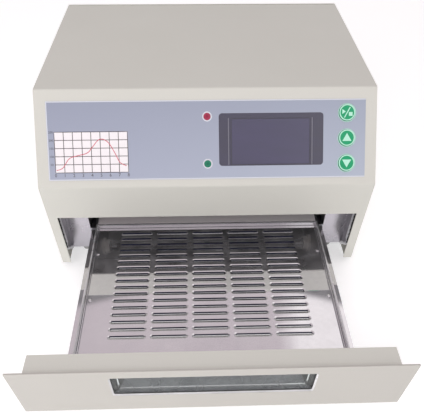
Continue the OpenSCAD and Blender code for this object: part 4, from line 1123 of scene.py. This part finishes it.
@dataclass
class ControlPanel(SubAssembly):
    """The printed overlay with its chart, the display, the lamps and the keys."""

    slope: SlopePlane = field(default_factory=SlopePlane)
    film_n: float = 0.4
    ink_t: float = 0.05
    label_w: float = 289.0
    label_top_s: float = 10.5
    label_h: float = 69.8
    border_w: float = 0.9
    border_in: float = 0.1
    chart_x: tuple[float, float] = (-138.0, -72.2)
    chart_s: tuple[float, float] = (37.4, 73.3)
    chart_columns: int = 8
    chart_rows: int = 5
    chart_line_w: float = 0.55
    curve_w: float = 0.6
    curve: tuple[tuple[float, float], ...] = (
        (0.1, 0.3), (0.8, 0.6), (1.5, 1.7), (2.3, 2.05), (3.5, 2.4), (4.1, 3.1), (4.8, 4.0), (5.4, 4.05),
        (6.0, 3.5), (6.6, 2.3), (7.1, 1.2), (7.8, 0.8))
    numeral_h: float = 2.9
    numeral_gap: float = 0.9
    side_numeral_h: float = 1.9
    side_numeral_gap: float = 3.0
    row_step: int = 50
    figure_share: float = 0.7
    lcd_x: float = 58.2
    lcd_s: float = 45.6
    lcd_size: tuple[float, float, float] = (95.4, 46.6, 3.0)
    lamp_s: tuple[float, float] = (25.0, 66.8)
    lamp_ring: tuple[float, float] = (3.35, 4.4)
    key_x: float = 127.4
    key_s: tuple[float, float, float] = (22.8, 45.2, 67.6)
    key_rise: float = 1.4
    key_ring: tuple[float, float] = (6.25, 7.25)
    key_halo: tuple[float, float] = (7.85, 8.3)
    key_sides: int = 40
    view_x: tuple[float, float] = (22.2, 93.2)
    view_s: tuple[float, float] = (27.5, 67.5)
    view_edge_w: float = 0.7
    view_corners: tuple[float, float] = (0.5, 0.3)
    frame_line_x: tuple[float, float] = (19.3, 95.6)
    frame_line_half: float = 0.4
    frame_line_top: float = 0.9
    cut_out_n: float = 0.06
    display_n: float = 0.42

    def build(self) -> None:
        """Prints the overlay, fits the display film and marks the keys."""
        self.place = self.slope.place()
        self.dress(LABEL_FILM, "panel_overlay")
        self.dress(SCREEN, "lcd_module")
        self.dress(BOARD, "control_board")
        self.dress(BLACK_PLASTIC, "key_switches")
        self.lamps()
        self.border()
        self.chart()
        self.display()
        self.keys()

    def on_film(self, name: str, form: BMesh, finish: Finish, slot: str = "overlay_film") -> Object:
        """Lays a printed form on the overlay or on the display and gives the piece."""
        return add_piece(name, form, finish.make(), "housing", self.place)

    def lamps(self) -> None:
        """Dresses the two lamps and prints a pale ring round each."""
        form = bmesh.new()
        for s, node, colour, deep in ((self.lamp_s[0], "red_lamp", "#B8405E", "#8A1F3C"),
                                      (self.lamp_s[1], "green_lamp", "#2F8E70", "#0F6A50")):
            centre = tuple(self.place @ Vector((0, -s * MM, 0)))
            self.dress(LampLens("acrylic_" + node, colour, deep, centre), node)
            band(form, circle(self.lamp_ring[1], centre=(0, -s)),
                 circle(self.lamp_ring[0], centre=(0, -s)), self.film_n, self.film_n + self.ink_t)
        self.on_film("lamp_rings", form, WHITE_INK)

    def border(self) -> None:
        """Prints the thin white edge along the top, the left and the bottom of the overlay."""
        form = bmesh.new()
        right = self.label_w / 2 - self.border_in
        left = -right
        top = -self.label_top_s - self.border_in
        low = -self.label_top_s - self.label_h + self.border_in
        rim = self.border_w
        outline = [(right, top), (left, top), (left, low), (right, low), (right, low + rim),
                   (left + rim, low + rim), (left + rim, top - rim), (right, top - rim)]
        prism(form, outline, self.film_n, self.film_n + self.ink_t)
        self.on_film("overlay_border", form, WHITE_INK)

    def chart_point(self, column: float, row: float) -> tuple[float, float]:
        """Gives a place in the chart.

        Args:
            column: Columns from the chart's left edge.
            row: Rows from its lower edge.

        Returns:
            The place in the panel's axes.
        """
        x = self.chart_x[0] + (self.chart_x[1] - self.chart_x[0]) * column / self.chart_columns
        s = self.chart_s[1] - (self.chart_s[1] - self.chart_s[0]) * row / self.chart_rows
        return (x, -s)

    def chart(self) -> None:
        """Prints the chart: its ground, its grid, its curve and the numerals round it."""
        low = self.chart_point(0, 0)
        high = self.chart_point(self.chart_columns, self.chart_rows)
        ground = bmesh.new()
        prism(ground, [low, (high[0], low[1]), high, (low[0], high[1])], self.film_n,
              self.film_n + self.ink_t)
        self.on_film("chart_ground", ground, PALE_INK)
        self.grid(low, high)
        line = bmesh.new()
        points = [self.chart_point(*p) for p in smooth_line(self.curve)]
        prism(line, ribbon(points, self.curve_w), self.film_n + self.ink_t, self.film_n + 3 * self.ink_t)
        self.on_film("chart_curve", line, RED_INK)
        self.numerals()

    def grid(self, low: tuple[float, float], high: tuple[float, float]) -> None:
        """Draws the chart's lines with a tree that turns a grid's edges into flat bars.

        Args:
            low: The chart's lower left corner.
            high: Its upper right corner.
        """
        shape = NodeShape("chart_grid")
        width = shape.size("Width", (high[0] - low[0]) * MM)
        height = shape.size("Height", (high[1] - low[1]) * MM)
        columns = shape.size("Columns", self.chart_columns + 1, "NodeSocketInt")
        rows = shape.size("Rows", self.chart_rows + 1, "NodeSocketInt")
        mesh = shape.add("MeshGrid", {
            "Size X": width, "Size Y": height, "Vertices X": columns, "Vertices Y": rows})
        lines = shape.add("MeshToCurve", {0: mesh})
        bar = shape.add("CurvePrimitiveQuadrilateral", {
            "Width": shape.size("Line", self.chart_line_w * MM), "Height": self.chart_line_w * MM / 4})
        solid = shape.add("CurveToMesh", {"Curve": lines, "Profile Curve": bar, "Fill Caps": True})
        middle = ((low[0] + high[0]) / 2, (low[1] + high[1]) / 2, self.film_n + self.ink_t)
        place = self.place @ Matrix.Translation(Vector(middle) * MM)
        moved = shape.add("Transform", {
            0: solid, "Translation": place.to_translation(), "Rotation": place.to_euler()})
        shape.bake(moved, DARK_INK.make(), "housing")

    def numerals(self) -> None:
        """Prints plain numbers under the chart's columns and beside its rows."""
        form = bmesh.new()
        for column in range(self.chart_columns + 1):
            x, y = self.chart_point(column, 0)
            self.number(form, column, self.numeral_h, (x, y - self.numeral_h - self.numeral_gap))
        for row in range(1, self.chart_rows + 1):
            x, y = self.chart_point(0, row)
            self.number(form, row * self.row_step, self.side_numeral_h,
                        (x - self.side_numeral_gap, y - self.side_numeral_h / 2))
        bmesh.ops.remove_doubles(form, verts=form.verts, dist=MERGE_MM)
        self.on_film("chart_numerals", form, DARK_INK)

    def number(self, form: BMesh, value: int, height: float, place: tuple[float, float]) -> None:
        """Adds a number to a form.

        Args:
            form: The form that takes it.
            value: The number.
            height: The height of its figures.
            place: The middle of its base line.
        """
        curve = bpy.data.curves.new("numeral", "FONT")
        curve.body = str(value)
        curve.size = height / self.figure_share
        curve.align_x = "CENTER"
        curve.resolution_u = 2
        curve.extrude = self.ink_t / 2
        text = bpy.data.objects.new("numeral", curve)
        bpy.context.scene.collection.objects.link(text)
        bpy.context.view_layer.update()
        mesh = bpy.data.meshes.new_from_object(text)
        mesh.transform(Matrix.Translation((*place, self.film_n + self.ink_t / 2)))
        form.from_mesh(mesh)
        bpy.data.objects.remove(text)
        bpy.data.meshes.remove(mesh)

    def display(self) -> None:
        """Fits the smoked film over the display's cut-out."""
        width, height, radius = self.lcd_size
        form = bmesh.new()
        prism(form, rounded(width, height, radius, (self.lcd_x, -self.lcd_s)), self.cut_out_n,
              self.display_n)
        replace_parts(self.on_film("display_film", form, SMOKE, "display_window"), "lcd_window")
        top = self.display_n
        (left, right), (high, low) = self.view_x, self.view_s
        view = bmesh.new()
        prism(view, [(left, -low), (right, -low), (right, -high), (left, -high)], top, top + self.ink_t)
        self.on_film("display_view", view, VIEW_GLASS, "display_window")
        edge = bmesh.new()
        middle = ((left + right) / 2, -(high + low) / 2)
        wide, tall, rim = right - left, low - high, 2 * self.view_edge_w
        outer, inner = self.view_corners
        band(edge, rounded(wide + rim, tall + rim, outer, middle, 2), rounded(wide, tall, inner, middle, 2),
             top, top + 2 * self.ink_t)
        self.on_film("display_view_edge", edge, EDGE_INK, "display_window")
        lines = bmesh.new()
        half, end = self.frame_line_half, self.frame_line_top
        for x in self.frame_line_x:
            prism(lines, [(x - half, -low - half), (x + half, -low - half), (x + half, -high + end),
                          (x - half, -high + end)], top, top + self.ink_t)
        self.on_film("display_side_lines", lines, FRAME_INK, "display_window")

    def keys(self) -> None:
        """Dresses the keys and prints a halo round each, and a ring and a mark on it."""
        names = [mark.name.lower() for mark in KeyMark]
        self.dress(KEY_GREEN, *("key_" + name for name in names))
        mint = MINT_INK.make()
        halo = bmesh.new()
        for s in self.key_s:
            inner, outer = (circle(r, self.key_sides, (self.key_x, -s)) for r in self.key_halo)
            band(halo, outer, inner, self.film_n, self.film_n + self.ink_t)
        self.on_film("key_halos", halo, MINT_INK)
        low, high = self.key_rise, self.key_rise + 2 * self.ink_t
        for s, name, mark in zip(self.key_s, names, KeyMark):
            form = bmesh.new()
            inner, outer = (circle(r, self.key_sides, (self.key_x, -s)) for r in self.key_ring)
            band(form, outer, inner, low, high)
            for outline in mark.value:
                prism(form, [(self.key_x + x, y - s) for x, y in outline], low, high)
            add_piece("key_" + name + "_print", form, mint, name + "_key", self.place)


@dataclass
class Drawer(SubAssembly):
    """The drawer's plate, its folded box and its window."""

    window: tuple[float, float] = (160.0, 27.7)
    slit: tuple[float, float] = (138.0, 6.0)
    fold: tuple[float, float, float] = (5.5, 2.6, 2.6)
    bead: float = 0.5
    liner_t: float = 0.6
    flange: float = 3.0
    flange_corners: tuple[float, float] = (2.5, 0.5)
    edge_over: float = 0.1
    edge_in: float = 2.4
    edge_corners: tuple[float, float] = (2.5, 1.6)
    edge_depths: tuple[float, float, float] = (0.1, 1.1, 1.18)
    end_tilt: float = 0.3

    def build(self) -> None:
        """Dresses the drawer's front and fits the window's liner and cut edge."""
        # The plate's darker paint is painted shade.
        self.dress(DRAWER_PAINTED_SHADE, "drawer_plate")
        self.dress(BODY_PAINT, "drawer_box")
        self.dress(GLASS, "window_glass", "inner_pane")
        self.liner()
        self.cut_edge()

    def cut_edge(self) -> None:
        """Bevels the edge of the plate's opening: the sides and the bottom catch the light, and its
        near-white finish adds a painted highlight.
        """
        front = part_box("drawer_plate")[0].y
        low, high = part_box("window_liner")
        width, height = self.window
        form = bmesh.new()
        outer = rounded(width + self.edge_over, height + self.edge_over, self.edge_corners[0])
        inner = rounded(width - self.edge_in, height - self.edge_in, self.edge_corners[1])
        start, bend, end = self.edge_depths
        loft(form, [(outer, start), (inner, bend), (inner, end), (outer, end)])
        add_piece("window_cut_edge", form, RIM_PAINTED_HIGHLIGHT.make(), "drawer",
                  upright(front, (low.z + high.z) / 2))

    def frame(self, inset_x: float, inset_z: float, grow: float = 0.0) -> Outline:
        """Gives the liner's outline at one depth.

        Args:
            inset_x: How far it lies inside the window's ends.
            inset_z: How far it lies inside the window's top and bottom.
            grow: How far the sheet's outer side lies outside its inner side.

        Returns:
            The four mitred corners.
        """
        x, z = self.window[0] / 2 - inset_x + grow, self.window[1] / 2 - inset_z + grow
        return [(-x, -z), (x, -z), (x, z), (-x, z)]

    def liner(self) -> None:
        """Folds the liner: a lip behind the glass, a beaded fold and four mitred walls to the slit."""
        low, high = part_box("window_liner")
        depth = (high.y - low.y) / MM
        end_x, end_z = (self.window[0] - self.slit[0]) / 2, (self.window[1] - self.slit[1]) / 2
        fold_x, fold_z, fold_y = self.fold
        b, t = self.bead, self.liner_t
        form = bmesh.new()
        loft(form, [
            (self.frame(0, 0), 0), (self.frame(fold_x - b, fold_z - b), fold_y - b),
            (self.frame(fold_x + b, fold_z + b / 2), fold_y - b / 2),
            (self.frame(fold_x + b, fold_z + b), fold_y + b / 2),
            (self.frame(fold_x + b, fold_z + b / 2), fold_y + b), (self.frame(end_x, end_z), depth),
            (self.frame(end_x, end_z, t), depth), (self.frame(fold_x + b, fold_z, t), fold_y + b),
            (self.frame(0, 0, t), 0)])
        size = self.window[0] + 2 * self.flange, self.window[1] + 2 * self.flange
        outer, inner = self.flange_corners
        band(form, rounded(*size, outer, steps=1), rounded(*self.window, inner, steps=1), 0, t)
        liner = add_piece(
            "window_liner_folded", form, LINER_STEEL.make(), "drawer",
            upright(low.y, (low.z + high.z) / 2))
        # The end walls take a nearly black finish: painted shade.
        liner.data.materials.append(LINER_END_PAINTED_SHADE.make())
        for polygon in liner.data.polygons:
            if abs(polygon.normal.x) > self.end_tilt:
                polygon.material_index = 1
        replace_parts(liner, "window_liner")


@dataclass
class Tray(SubAssembly):
    """The polished pan with a turned-down edge in each slot."""

    grid: SlotGrid = SlotGrid()
    collar_play: float = 0.1
    collar_t: float = 0.2
    collar_drop: float = 0.03
    collar_h: float = 1.9
    rim_r: float = 0.75
    rim_sides: int = 12
    rim_out: float = 0.4
    rim_drop: float = 0.25
    lip: float = 1.0
    inside_w: float = 234.6
    wall_t: float = 1.0
    tail: float = 20.0
    slot_start: float = 8.7
    depth: float = 5.0
    skin_half: float = 117.0
    skin_in: float = 0.4
    skin_lift: float = 0.02
    skin_t: float = 0.05

    def build(self) -> None:
        """Dresses the pan and adds its collars, its side bends and the tail's pale skin of painted
        reflection.
        """
        self.dress(MIRROR_STEEL, "tray", "tray_rivets")
        self.collars()
        self.rims()
        self.tail_sheen()

    def tail_sheen(self) -> None:
        """Lays a pale skin on the tail flange: a painted reflection."""
        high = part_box("tray")[1]
        front, back = high.y / MM - self.tail + self.skin_in, high.y / MM - self.skin_in
        low = high.z / MM + self.skin_lift
        half = self.skin_half
        form = bmesh.new()
        prism(form, [(-half, front), (half, front), (half, back), (-half, back)], low, low + self.skin_t)
        add_piece("tray_tail_skin", form, TAIL_PAINTED_REFLECTION.make(), "drawer")

    def collars(self) -> None:
        """Sets a dark collar into every slot: the turned-down edge of the punched sheet, coloured as
        painted shade.
        """
        grid, high = self.grid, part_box("tray")[1]
        first_y = high.y - (self.tail + self.wall_t + self.slot_start) * MM
        middle_y = first_y - (grid.rows - 1) * grid.row_pitch * MM / 2
        floor_z = high.z - self.depth * MM
        play, bore = self.collar_play, self.collar_play + 2 * self.collar_t
        corner = grid.slot_w / 2 - play
        collar = bmesh.new()
        band(collar, rounded(grid.slot_l - play, grid.slot_w - play, corner),
             rounded(grid.slot_l - bore, grid.slot_w - bore, corner - self.collar_t), -self.collar_h,
             -self.collar_drop)
        shape = NodeShape("tray_slot_collars")
        self.spread(shape, shape.form(collar), Vector((0, middle_y, floor_z)), SLOT_PAINTED_SHADE)

    def rims(self) -> None:
        """Lays the round bend between the pan's side walls and its flanges, which catches the light; its
        near-white finish is a painted highlight.
        """
        low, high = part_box("tray")
        front, back = low.y / MM + self.lip, high.y / MM - self.tail
        form = bmesh.new()
        for side in (-1, 1):
            centre = (side * (self.inside_w / 2 + self.rim_out), high.z / MM - self.rim_drop)
            prism(form, circle(self.rim_r, self.rim_sides, centre), front, back)
        add_piece("tray_side_bends", form, RIM_PAINTED_HIGHLIGHT.make(), "drawer",
                  upright(), smooth=True)

    def spread(self, shape: NodeShape, unit: NodeSocket, middle: Vector, finish: Finish) -> None:
        """Repeats a shape over the slots' grid.

        Args:
            shape: The tree that makes it.
            unit: The socket with one slot's shape.
            middle: The grid's middle in metres.
            finish: The finish of the copies.
        """
        spots = shape.add("MeshGrid", {
            "Size X": (self.grid.columns - 1) * self.grid.column_pitch * MM,
            "Size Y": (self.grid.rows - 1) * self.grid.row_pitch * MM,
            "Vertices X": shape.size("Columns", self.grid.columns, "NodeSocketInt"),
            "Vertices Y": shape.size("Rows", self.grid.rows, "NodeSocketInt")})
        each = shape.add("InstanceOnPoints", {"Points": spots, "Instance": unit})
        moved = shape.add("Transform", {0: each, "Translation": middle})
        shape.bake(moved, finish.make(), "drawer")


@dataclass
class Chamber(SubAssembly):
    """The heated space: shells, insulation, quartz tubes and their coils."""

    tube_count: int = 4
    tube_pitch: float = 46.0
    coil_r: float = 2.6
    coil_pitch: float = 2.3
    wire_r: float = 0.4
    lead_r: float = 1.0
    coil_inset: float = 8.0
    wire_sides: int = 4
    turn_steps: int = 9
    lead_sides: int = 10

    def build(self) -> None:
        """Dresses the chamber and winds its heaters."""
        self.dress(STAINLESS, "chamber_shell", "chamber_floor", "rear_baffle", "temperature_probes")
        self.dress(WOOL, "insulation_wool")
        self.dress(QUARTZ, "quartz_tubes")
        self.dress(CERAMIC, "ceramic_end_caps")
        self.coils()

    def coils(self) -> None:
        """Winds a coil with a straight lead at each end into every tube."""
        low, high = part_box("heating_coils")
        half = high.x - self.coil_inset * MM * 2
        middle = (low + high) / 2
        length = 2 * half
        turns = round(length / MM / self.coil_pitch)
        shape = NodeShape("heater_windings")
        wire = shape.add("CurvePrimitiveCircle", {
            "Resolution": self.wire_sides, "Radius": shape.size("Wire radius", self.wire_r * MM)})
        helix = shape.add("CurveSpiral", {
            "Resolution": self.turn_steps, "Rotations": shape.size("Turns", float(turns)),
            "Start Radius": shape.size("Coil radius", self.coil_r * MM), "End Radius": self.coil_r * MM,
            "Height": length})
        winding = shape.add("CurveToMesh", {"Curve": helix, "Profile Curve": wire})
        laid = shape.add("Transform", {
            0: winding, "Translation": (-half, 0, 0), "Rotation": (0, math.pi / 2, 0)})
        lead = shape.add("MeshCylinder", {
            "Vertices": self.lead_sides, "Radius": self.lead_r * MM, "Depth": high.x - half})
        ends = [shape.add("Transform", {
            0: lead, "Translation": (side * (high.x + half) / 2, 0, 0), "Rotation": (0, math.pi / 2, 0)})
            for side in (-1, 1)]
        one = shape.add("JoinGeometry")
        for part in (laid, *ends):
            shape.tree.links.new(part, one.node.inputs[0])
        line = shape.add("MeshLine", {
            "Count": shape.size("Tubes", self.tube_count, "NodeSocketInt"),
            "Start Location": (0, middle.y - (self.tube_count - 1) * self.tube_pitch * MM / 2, middle.z),
            "Offset": (0, self.tube_pitch * MM, 0)})
        each = shape.add("InstanceOnPoints", {"Points": line, "Instance": one})
        coils = shape.bake(each, HEATER_WIRE.make(), "housing")
        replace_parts(coils, "heating_coils")


@dataclass
class Electronics(SubAssembly):
    """The deck above the insulation and what stands on it."""

    def build(self) -> None:
        """Dresses the deck and its parts."""
        for finish, node in ((ZINC, "electronics_deck"), (BOARD, "power_board"), (BRASS, "board_spacers"),
                             (LAMINATIONS, "transformer"), (ANODISED, "heat_sink"),
                             (SLEEVE, "capacitors"), (TERMINAL, "terminal_block")):
            self.dress(finish, node)


@dataclass
class RearFittings(SubAssembly):
    """The exhaust fan with its guard, the mains inlet and the rocker switch."""

    def build(self) -> None:
        """Dresses what the rear panel carries."""
        self.dress(BLACK_PLASTIC, "fan_frame", "fan_rotor", "inlet_body", "switch_frame", "switch_rocker")
        self.dress(GUARD_WIRE, "fan_guard")
        self.dress(BRASS, "inlet_pins")


@dataclass
class RecessCheeks:
    """The bare inner cheeks of the two legs, with a seam of white lumps at the leg and over the foot, a
    dark line of painted shadow beside it and a bright rib, a painted highlight of a fold.

    The seam's beads are drawn coarser than real, so that they show.
    """

    inner_x: float = 147.8
    front_y: float = -44.3
    back_y: float = -22.5
    low_z: float = 8.2
    top_z: float = 96.0
    seam_z: float = 27.0
    sheet_t: float = 0.5
    beads: int = 26
    bead_r: float = 1.1
    bright_back: float = 6.0
    dark_back: float = 4.4
    rib_back: float = 7.8
    rib_w: float = 2.2
    rib_t: float = 0.6
    seam_in: float = 0.1
    seam_low: float = 3.0
    seam_top: float = 70.0
    seeds: tuple[int, int] = (3, 11)
    lump_least: tuple[float, float, float] = (0.5, 0.5, 0.6)
    lump_most: tuple[float, float, float] = (1.1, 1.2, 2.6)
    lump_tilt: float = 0.5

    def build(self) -> None:
        """Makes both cheeks and their seams."""
        metal, paint = CHEEK_SHEET.make(), CHEEK_PAINT.make()
        bright, dark = SEAM_WHITE_AND_PAINTED_HIGHLIGHT.make(), SEAM_SHADOW.make()
        front, back, top, seam_z = self.front_y, self.back_y, self.top_z, self.seam_z
        near = front + self.rib_back
        far = near + self.rib_w
        for side, name in ((-1, "left"), (1, "right")):
            place = Matrix(
                ((0, 0, side, side * self.inner_x * MM), (1, 0, 0, 0), (0, 1, 0, 0), (0, 0, 0, 1)))
            upper, lower, rib = bmesh.new(), bmesh.new(), bmesh.new()
            prism(upper, [(front, seam_z), (back, self.low_z), (back, top), (front, top)], 0, self.sheet_t)
            prism(lower, [(front, self.low_z), (back, self.low_z), (front, seam_z)], 0, self.sheet_t)
            prism(rib, [(near, seam_z), (far, seam_z), (far, top), (near, top)], -self.rib_t, 0)
            add_piece("recess_cheek_" + name, upper, metal, "housing", place)
            add_piece("recess_foot_" + name, lower, paint, "housing", place)
            x = side * (self.inner_x - self.seam_in)
            up = [Vector((x, front + self.bright_back, z))
                  for z in self.steps(seam_z - self.seam_low, self.seam_top)]
            across = [Vector((x, y, seam_z + (self.low_z - seam_z) * share))
                      for share, y in zip(self.steps(0, 1), self.steps(front, back))]
            inside = [Vector((x, front + self.dark_back, p.z)) for p in up]
            self.seam("leg_seam_" + name, up + across, self.seeds[0], bright)
            # A dark line of painted shadow along the leg's edge.
            self.seam("leg_seam_gum_" + name, inside, self.seeds[1], dark)
            # The rib is a painted highlight of a fold in the cheek.
            add_piece("recess_rib_" + name, rib, bright, "housing", place)

    def steps(self, first: float, last: float) -> list[float]:
        """Gives evenly spread numbers for the beads of one seam."""
        return [first + (last - first) * i / (self.beads - 1) for i in range(self.beads)]

    def seam(self, name: str, spots: Sequence[Vector], seed: int, material: Material) -> None:
        """Sets a lump of its own size and turn on each spot.

        Args:
            name: The piece's name.
            spots: The lumps' middles in millimetres.
            seed: The seed of their sizes and turns.
            material: The seam's material.
        """
        shape = NodeShape(name, [p * MM for p in spots])
        lump = shape.add("MeshIcoSphere", {
            "Radius": shape.size("Bead radius", self.bead_r * MM), "Subdivisions": 2})
        sizes = shape.add("FunctionNodeRandomValue", {
            0: self.lump_least, 1: self.lump_most, "Seed": seed}, data_type="FLOAT_VECTOR")
        turns = shape.add("FunctionNodeRandomValue", {
            0: (-self.lump_tilt, 0, 0), 1: (self.lump_tilt, 0, 0), "Seed": seed + 1},
            data_type="FLOAT_VECTOR")
        each = shape.add("InstanceOnPoints", {
            "Points": shape.entry.outputs["Points"], "Instance": lump, "Rotation": turns, "Scale": sizes})
        shape.bake(each, material, "housing")


@dataclass
class PhotoCamera:
    """The camera at the photograph's place, in millimetres, radians and pixels of its 424 by 414 frame."""

    place: tuple[float, float, float] = (-8.96, -397.87, 382.46)
    yaw: float = 0.038
    pitch: float = 0.864
    roll: float = 0.010
    focal_px: float = 477.37
    frame_w_px: float = 424.0
    frame_h_px: float = 414.0
    axis_y_px: float = 282.7
    sensor: float = 36.0
    near_m: float = 0.01

    def build(self) -> None:
        """Adds the camera and makes it the scene's."""
        data = bpy.data.cameras.new("photo_camera")
        data.sensor_width = self.sensor
        data.lens = self.focal_px / self.frame_w_px * self.sensor
        data.shift_y = (self.axis_y_px - self.frame_h_px / 2) / self.frame_w_px
        data.clip_start = self.near_m
        ahead = Vector((math.sin(self.yaw) * math.cos(self.pitch),
                        math.cos(self.yaw) * math.cos(self.pitch), -math.sin(self.pitch)))
        level = Vector((math.cos(self.yaw), -math.sin(self.yaw), 0))
        above = level.cross(ahead)
        right = level * math.cos(self.roll) + above * math.sin(self.roll)
        up = above * math.cos(self.roll) - level * math.sin(self.roll)
        turn = Matrix((right, up, -ahead)).transposed().to_4x4()
        camera = bpy.data.objects.new("photo_camera", data)
        camera.matrix_world = Matrix.Translation(Vector(self.place) * MM) @ turn
        bpy.context.scene.collection.objects.link(camera)
        bpy.context.scene.camera = camera


@dataclass
class Softbox:
    """A square light that faces a point near the object's middle."""

    name: str
    place: tuple[float, float, float]
    power: float
    width: float
    aim: tuple[float, float, float] = (0, 0, 0.06)

    def build(self) -> None:
        """Adds the light."""
        data = bpy.data.lights.new(self.name, "AREA")
        data.energy = self.power
        data.size = self.width
        light = bpy.data.objects.new(self.name, data)
        ray = Vector(self.aim) - Vector(self.place)
        turn = ray.to_track_quat("-Z", "Y").to_matrix().to_4x4()
        light.matrix_world = Matrix.Translation(self.place) @ turn
        light.visible_glossy = False
        light.visible_transmission = False
        bpy.context.scene.collection.objects.link(light)


@dataclass
class Studio:
    """A pale floor, a soft sky and softboxes."""

    floor_half: float = 9.0
    floor_colour: str = "#EEEEEE"
    floor_glow: float = 0.4
    floor_roughness: float = 0.9
    floor_light: str = "#FFFFFF"
    wall_top: float = 0.711
    wall_lean: float = 0.0876
    edge_half: float = 0.004
    right_power: float = 1.2
    right_span: tuple[float, float] = (0.16, 0.2)
    wall_span: tuple[float, float] = (0.0, 0.7)
    low_span: tuple[float, float] = (0.28, 0.44)
    ahead_span: tuple[float, float] = (-0.8, -0.3)
    ahead_share: float = 0.65
    ceiling_left: str = "#DFD4D8"
    ceiling_right: str = "#FFFAFA"
    wall_low: str = "#6A686A"
    wall_high: str = "#807E80"
    wall_ahead: str = "#2E2E3A"
    horizon: str = "#ECEBEA"
    boxes: tuple[Softbox, ...] = (
        Softbox("key_box", (-0.40, -0.80, 1.10), 2.0, 1.0), Softbox("fill_box", (0.7, -0.9, 0.7), 0.6, 0.8),
        Softbox("top_box", (0.0, 0.3, 1.3), 0.8, 0.9), Softbox("front_box", (-0.6, -1.15, 0.66), 5.6, 0.9))

    def build(self) -> None:
        """Sets the floor, the sky, the lights and the camera."""
        half = self.floor_half
        mesh = bpy.data.meshes.new("floor")
        mesh.from_pydata([
            (-half, -half, 0), (half, -half, 0), (half, half, 0), (-half, half, 0)], [], [(0, 1, 2, 3)])
        floor = bpy.data.objects.new("floor", mesh)
        bpy.context.scene.collection.objects.link(floor)
        material = bpy.data.materials.new("paper_sweep")
        material.use_nodes = True
        shader = material.node_tree.nodes["Principled BSDF"]
        for name, value in {"Base Color": srgb(self.floor_colour), "Roughness": self.floor_roughness,
                            "Emission Color": srgb(self.floor_light),
                            "Emission Strength": self.floor_glow}.items():
            shader.inputs[name].default_value = value
        mesh.materials.append(material)
        self.sky()
        for box in self.boxes:
            box.build()
        PhotoCamera().build()
        bpy.context.scene.view_settings.view_transform = "Standard"

    def sky(self) -> None:
        """Lights the room: a pale ceiling, paler to the right, over darker walls that metal can mirror."""
        world = bpy.data.worlds.new("studio_sky")
        world.use_nodes = True
        tree = world.node_tree
        tree.nodes.clear()
        coords = add_node(tree, "TexCoord").node.outputs["Generated"]
        split = add_node(tree, "SeparateXYZ", {0: coords}).node.outputs
        lean = add_node(tree, "Math", {
            0: split[1], 1: -self.wall_lean, 2: split[2]}, operation="MULTIPLY_ADD")
        edge = add_node(tree, "MapRange", {
            "Value": lean, "From Min": self.wall_top - self.edge_half,
            "From Max": self.wall_top + self.edge_half})
        to_right = add_node(tree, "MapRange", {
            "Value": split[0], "From Min": self.right_span[0], "From Max": self.right_span[1]})
        up_wall = add_node(tree, "MapRange", {
            "Value": split[2], "From Min": self.wall_span[0], "From Max": self.wall_span[1]})
        off_floor = add_node(tree, "MapRange", {
            "Value": split[2], "From Min": self.low_span[0], "From Max": self.low_span[1]})
        ahead = add_node(tree, "MapRange", {
            "Value": split[1], "From Min": self.ahead_span[0], "From Max": self.ahead_span[1],
            "To Min": self.ahead_share, "To Max": 0.0})
        ceiling = add_node(tree, "Mix", {
            SHARE: to_right, FIRST: srgb(self.ceiling_left), SECOND: srgb(self.ceiling_right)},
            data_type="RGBA")
        tone = add_node(tree, "Mix", {
            SHARE: up_wall, FIRST: srgb(self.wall_low), SECOND: srgb(self.wall_high)}, data_type="RGBA")
        tone = add_node(tree, "Mix", {
            SHARE: ahead, FIRST: tone, SECOND: srgb(self.wall_ahead)}, data_type="RGBA")
        tone = add_node(tree, "Mix", {
            SHARE: off_floor, FIRST: srgb(self.horizon), SECOND: tone}, data_type="RGBA")
        tone = add_node(tree, "Mix", {SHARE: edge, FIRST: tone, SECOND: ceiling}, data_type="RGBA")
        both = add_node(tree, "Math", {0: edge, 1: to_right}, operation="MULTIPLY")
        power = add_node(tree, "MapRange", {"Value": both, "To Min": 1.0, "To Max": self.right_power})
        back = add_node(tree, "Background", {"Color": tone, "Strength": power})
        add_node(tree, "OutputWorld", {"Surface": back})
        bpy.context.scene.world = world


def main() -> None:
    """Builds the sub-assemblies in order and sets the studio."""
    logging.basicConfig(level=logging.INFO, format="%(name)s: %(message)s")
    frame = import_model()
    nodes = frame["nodes"]
    for part in (Housing(nodes), ControlPanel(nodes), Drawer(nodes), Tray(nodes),
                 Chamber(nodes), Electronics(nodes), RearFittings(nodes), ScrewHeads(nodes)):
        LOG.info("building %s", type(part).__name__)
        part.build()
    RecessCheeks().build()
    Studio().build()


if __name__ == "__main__":
    main()
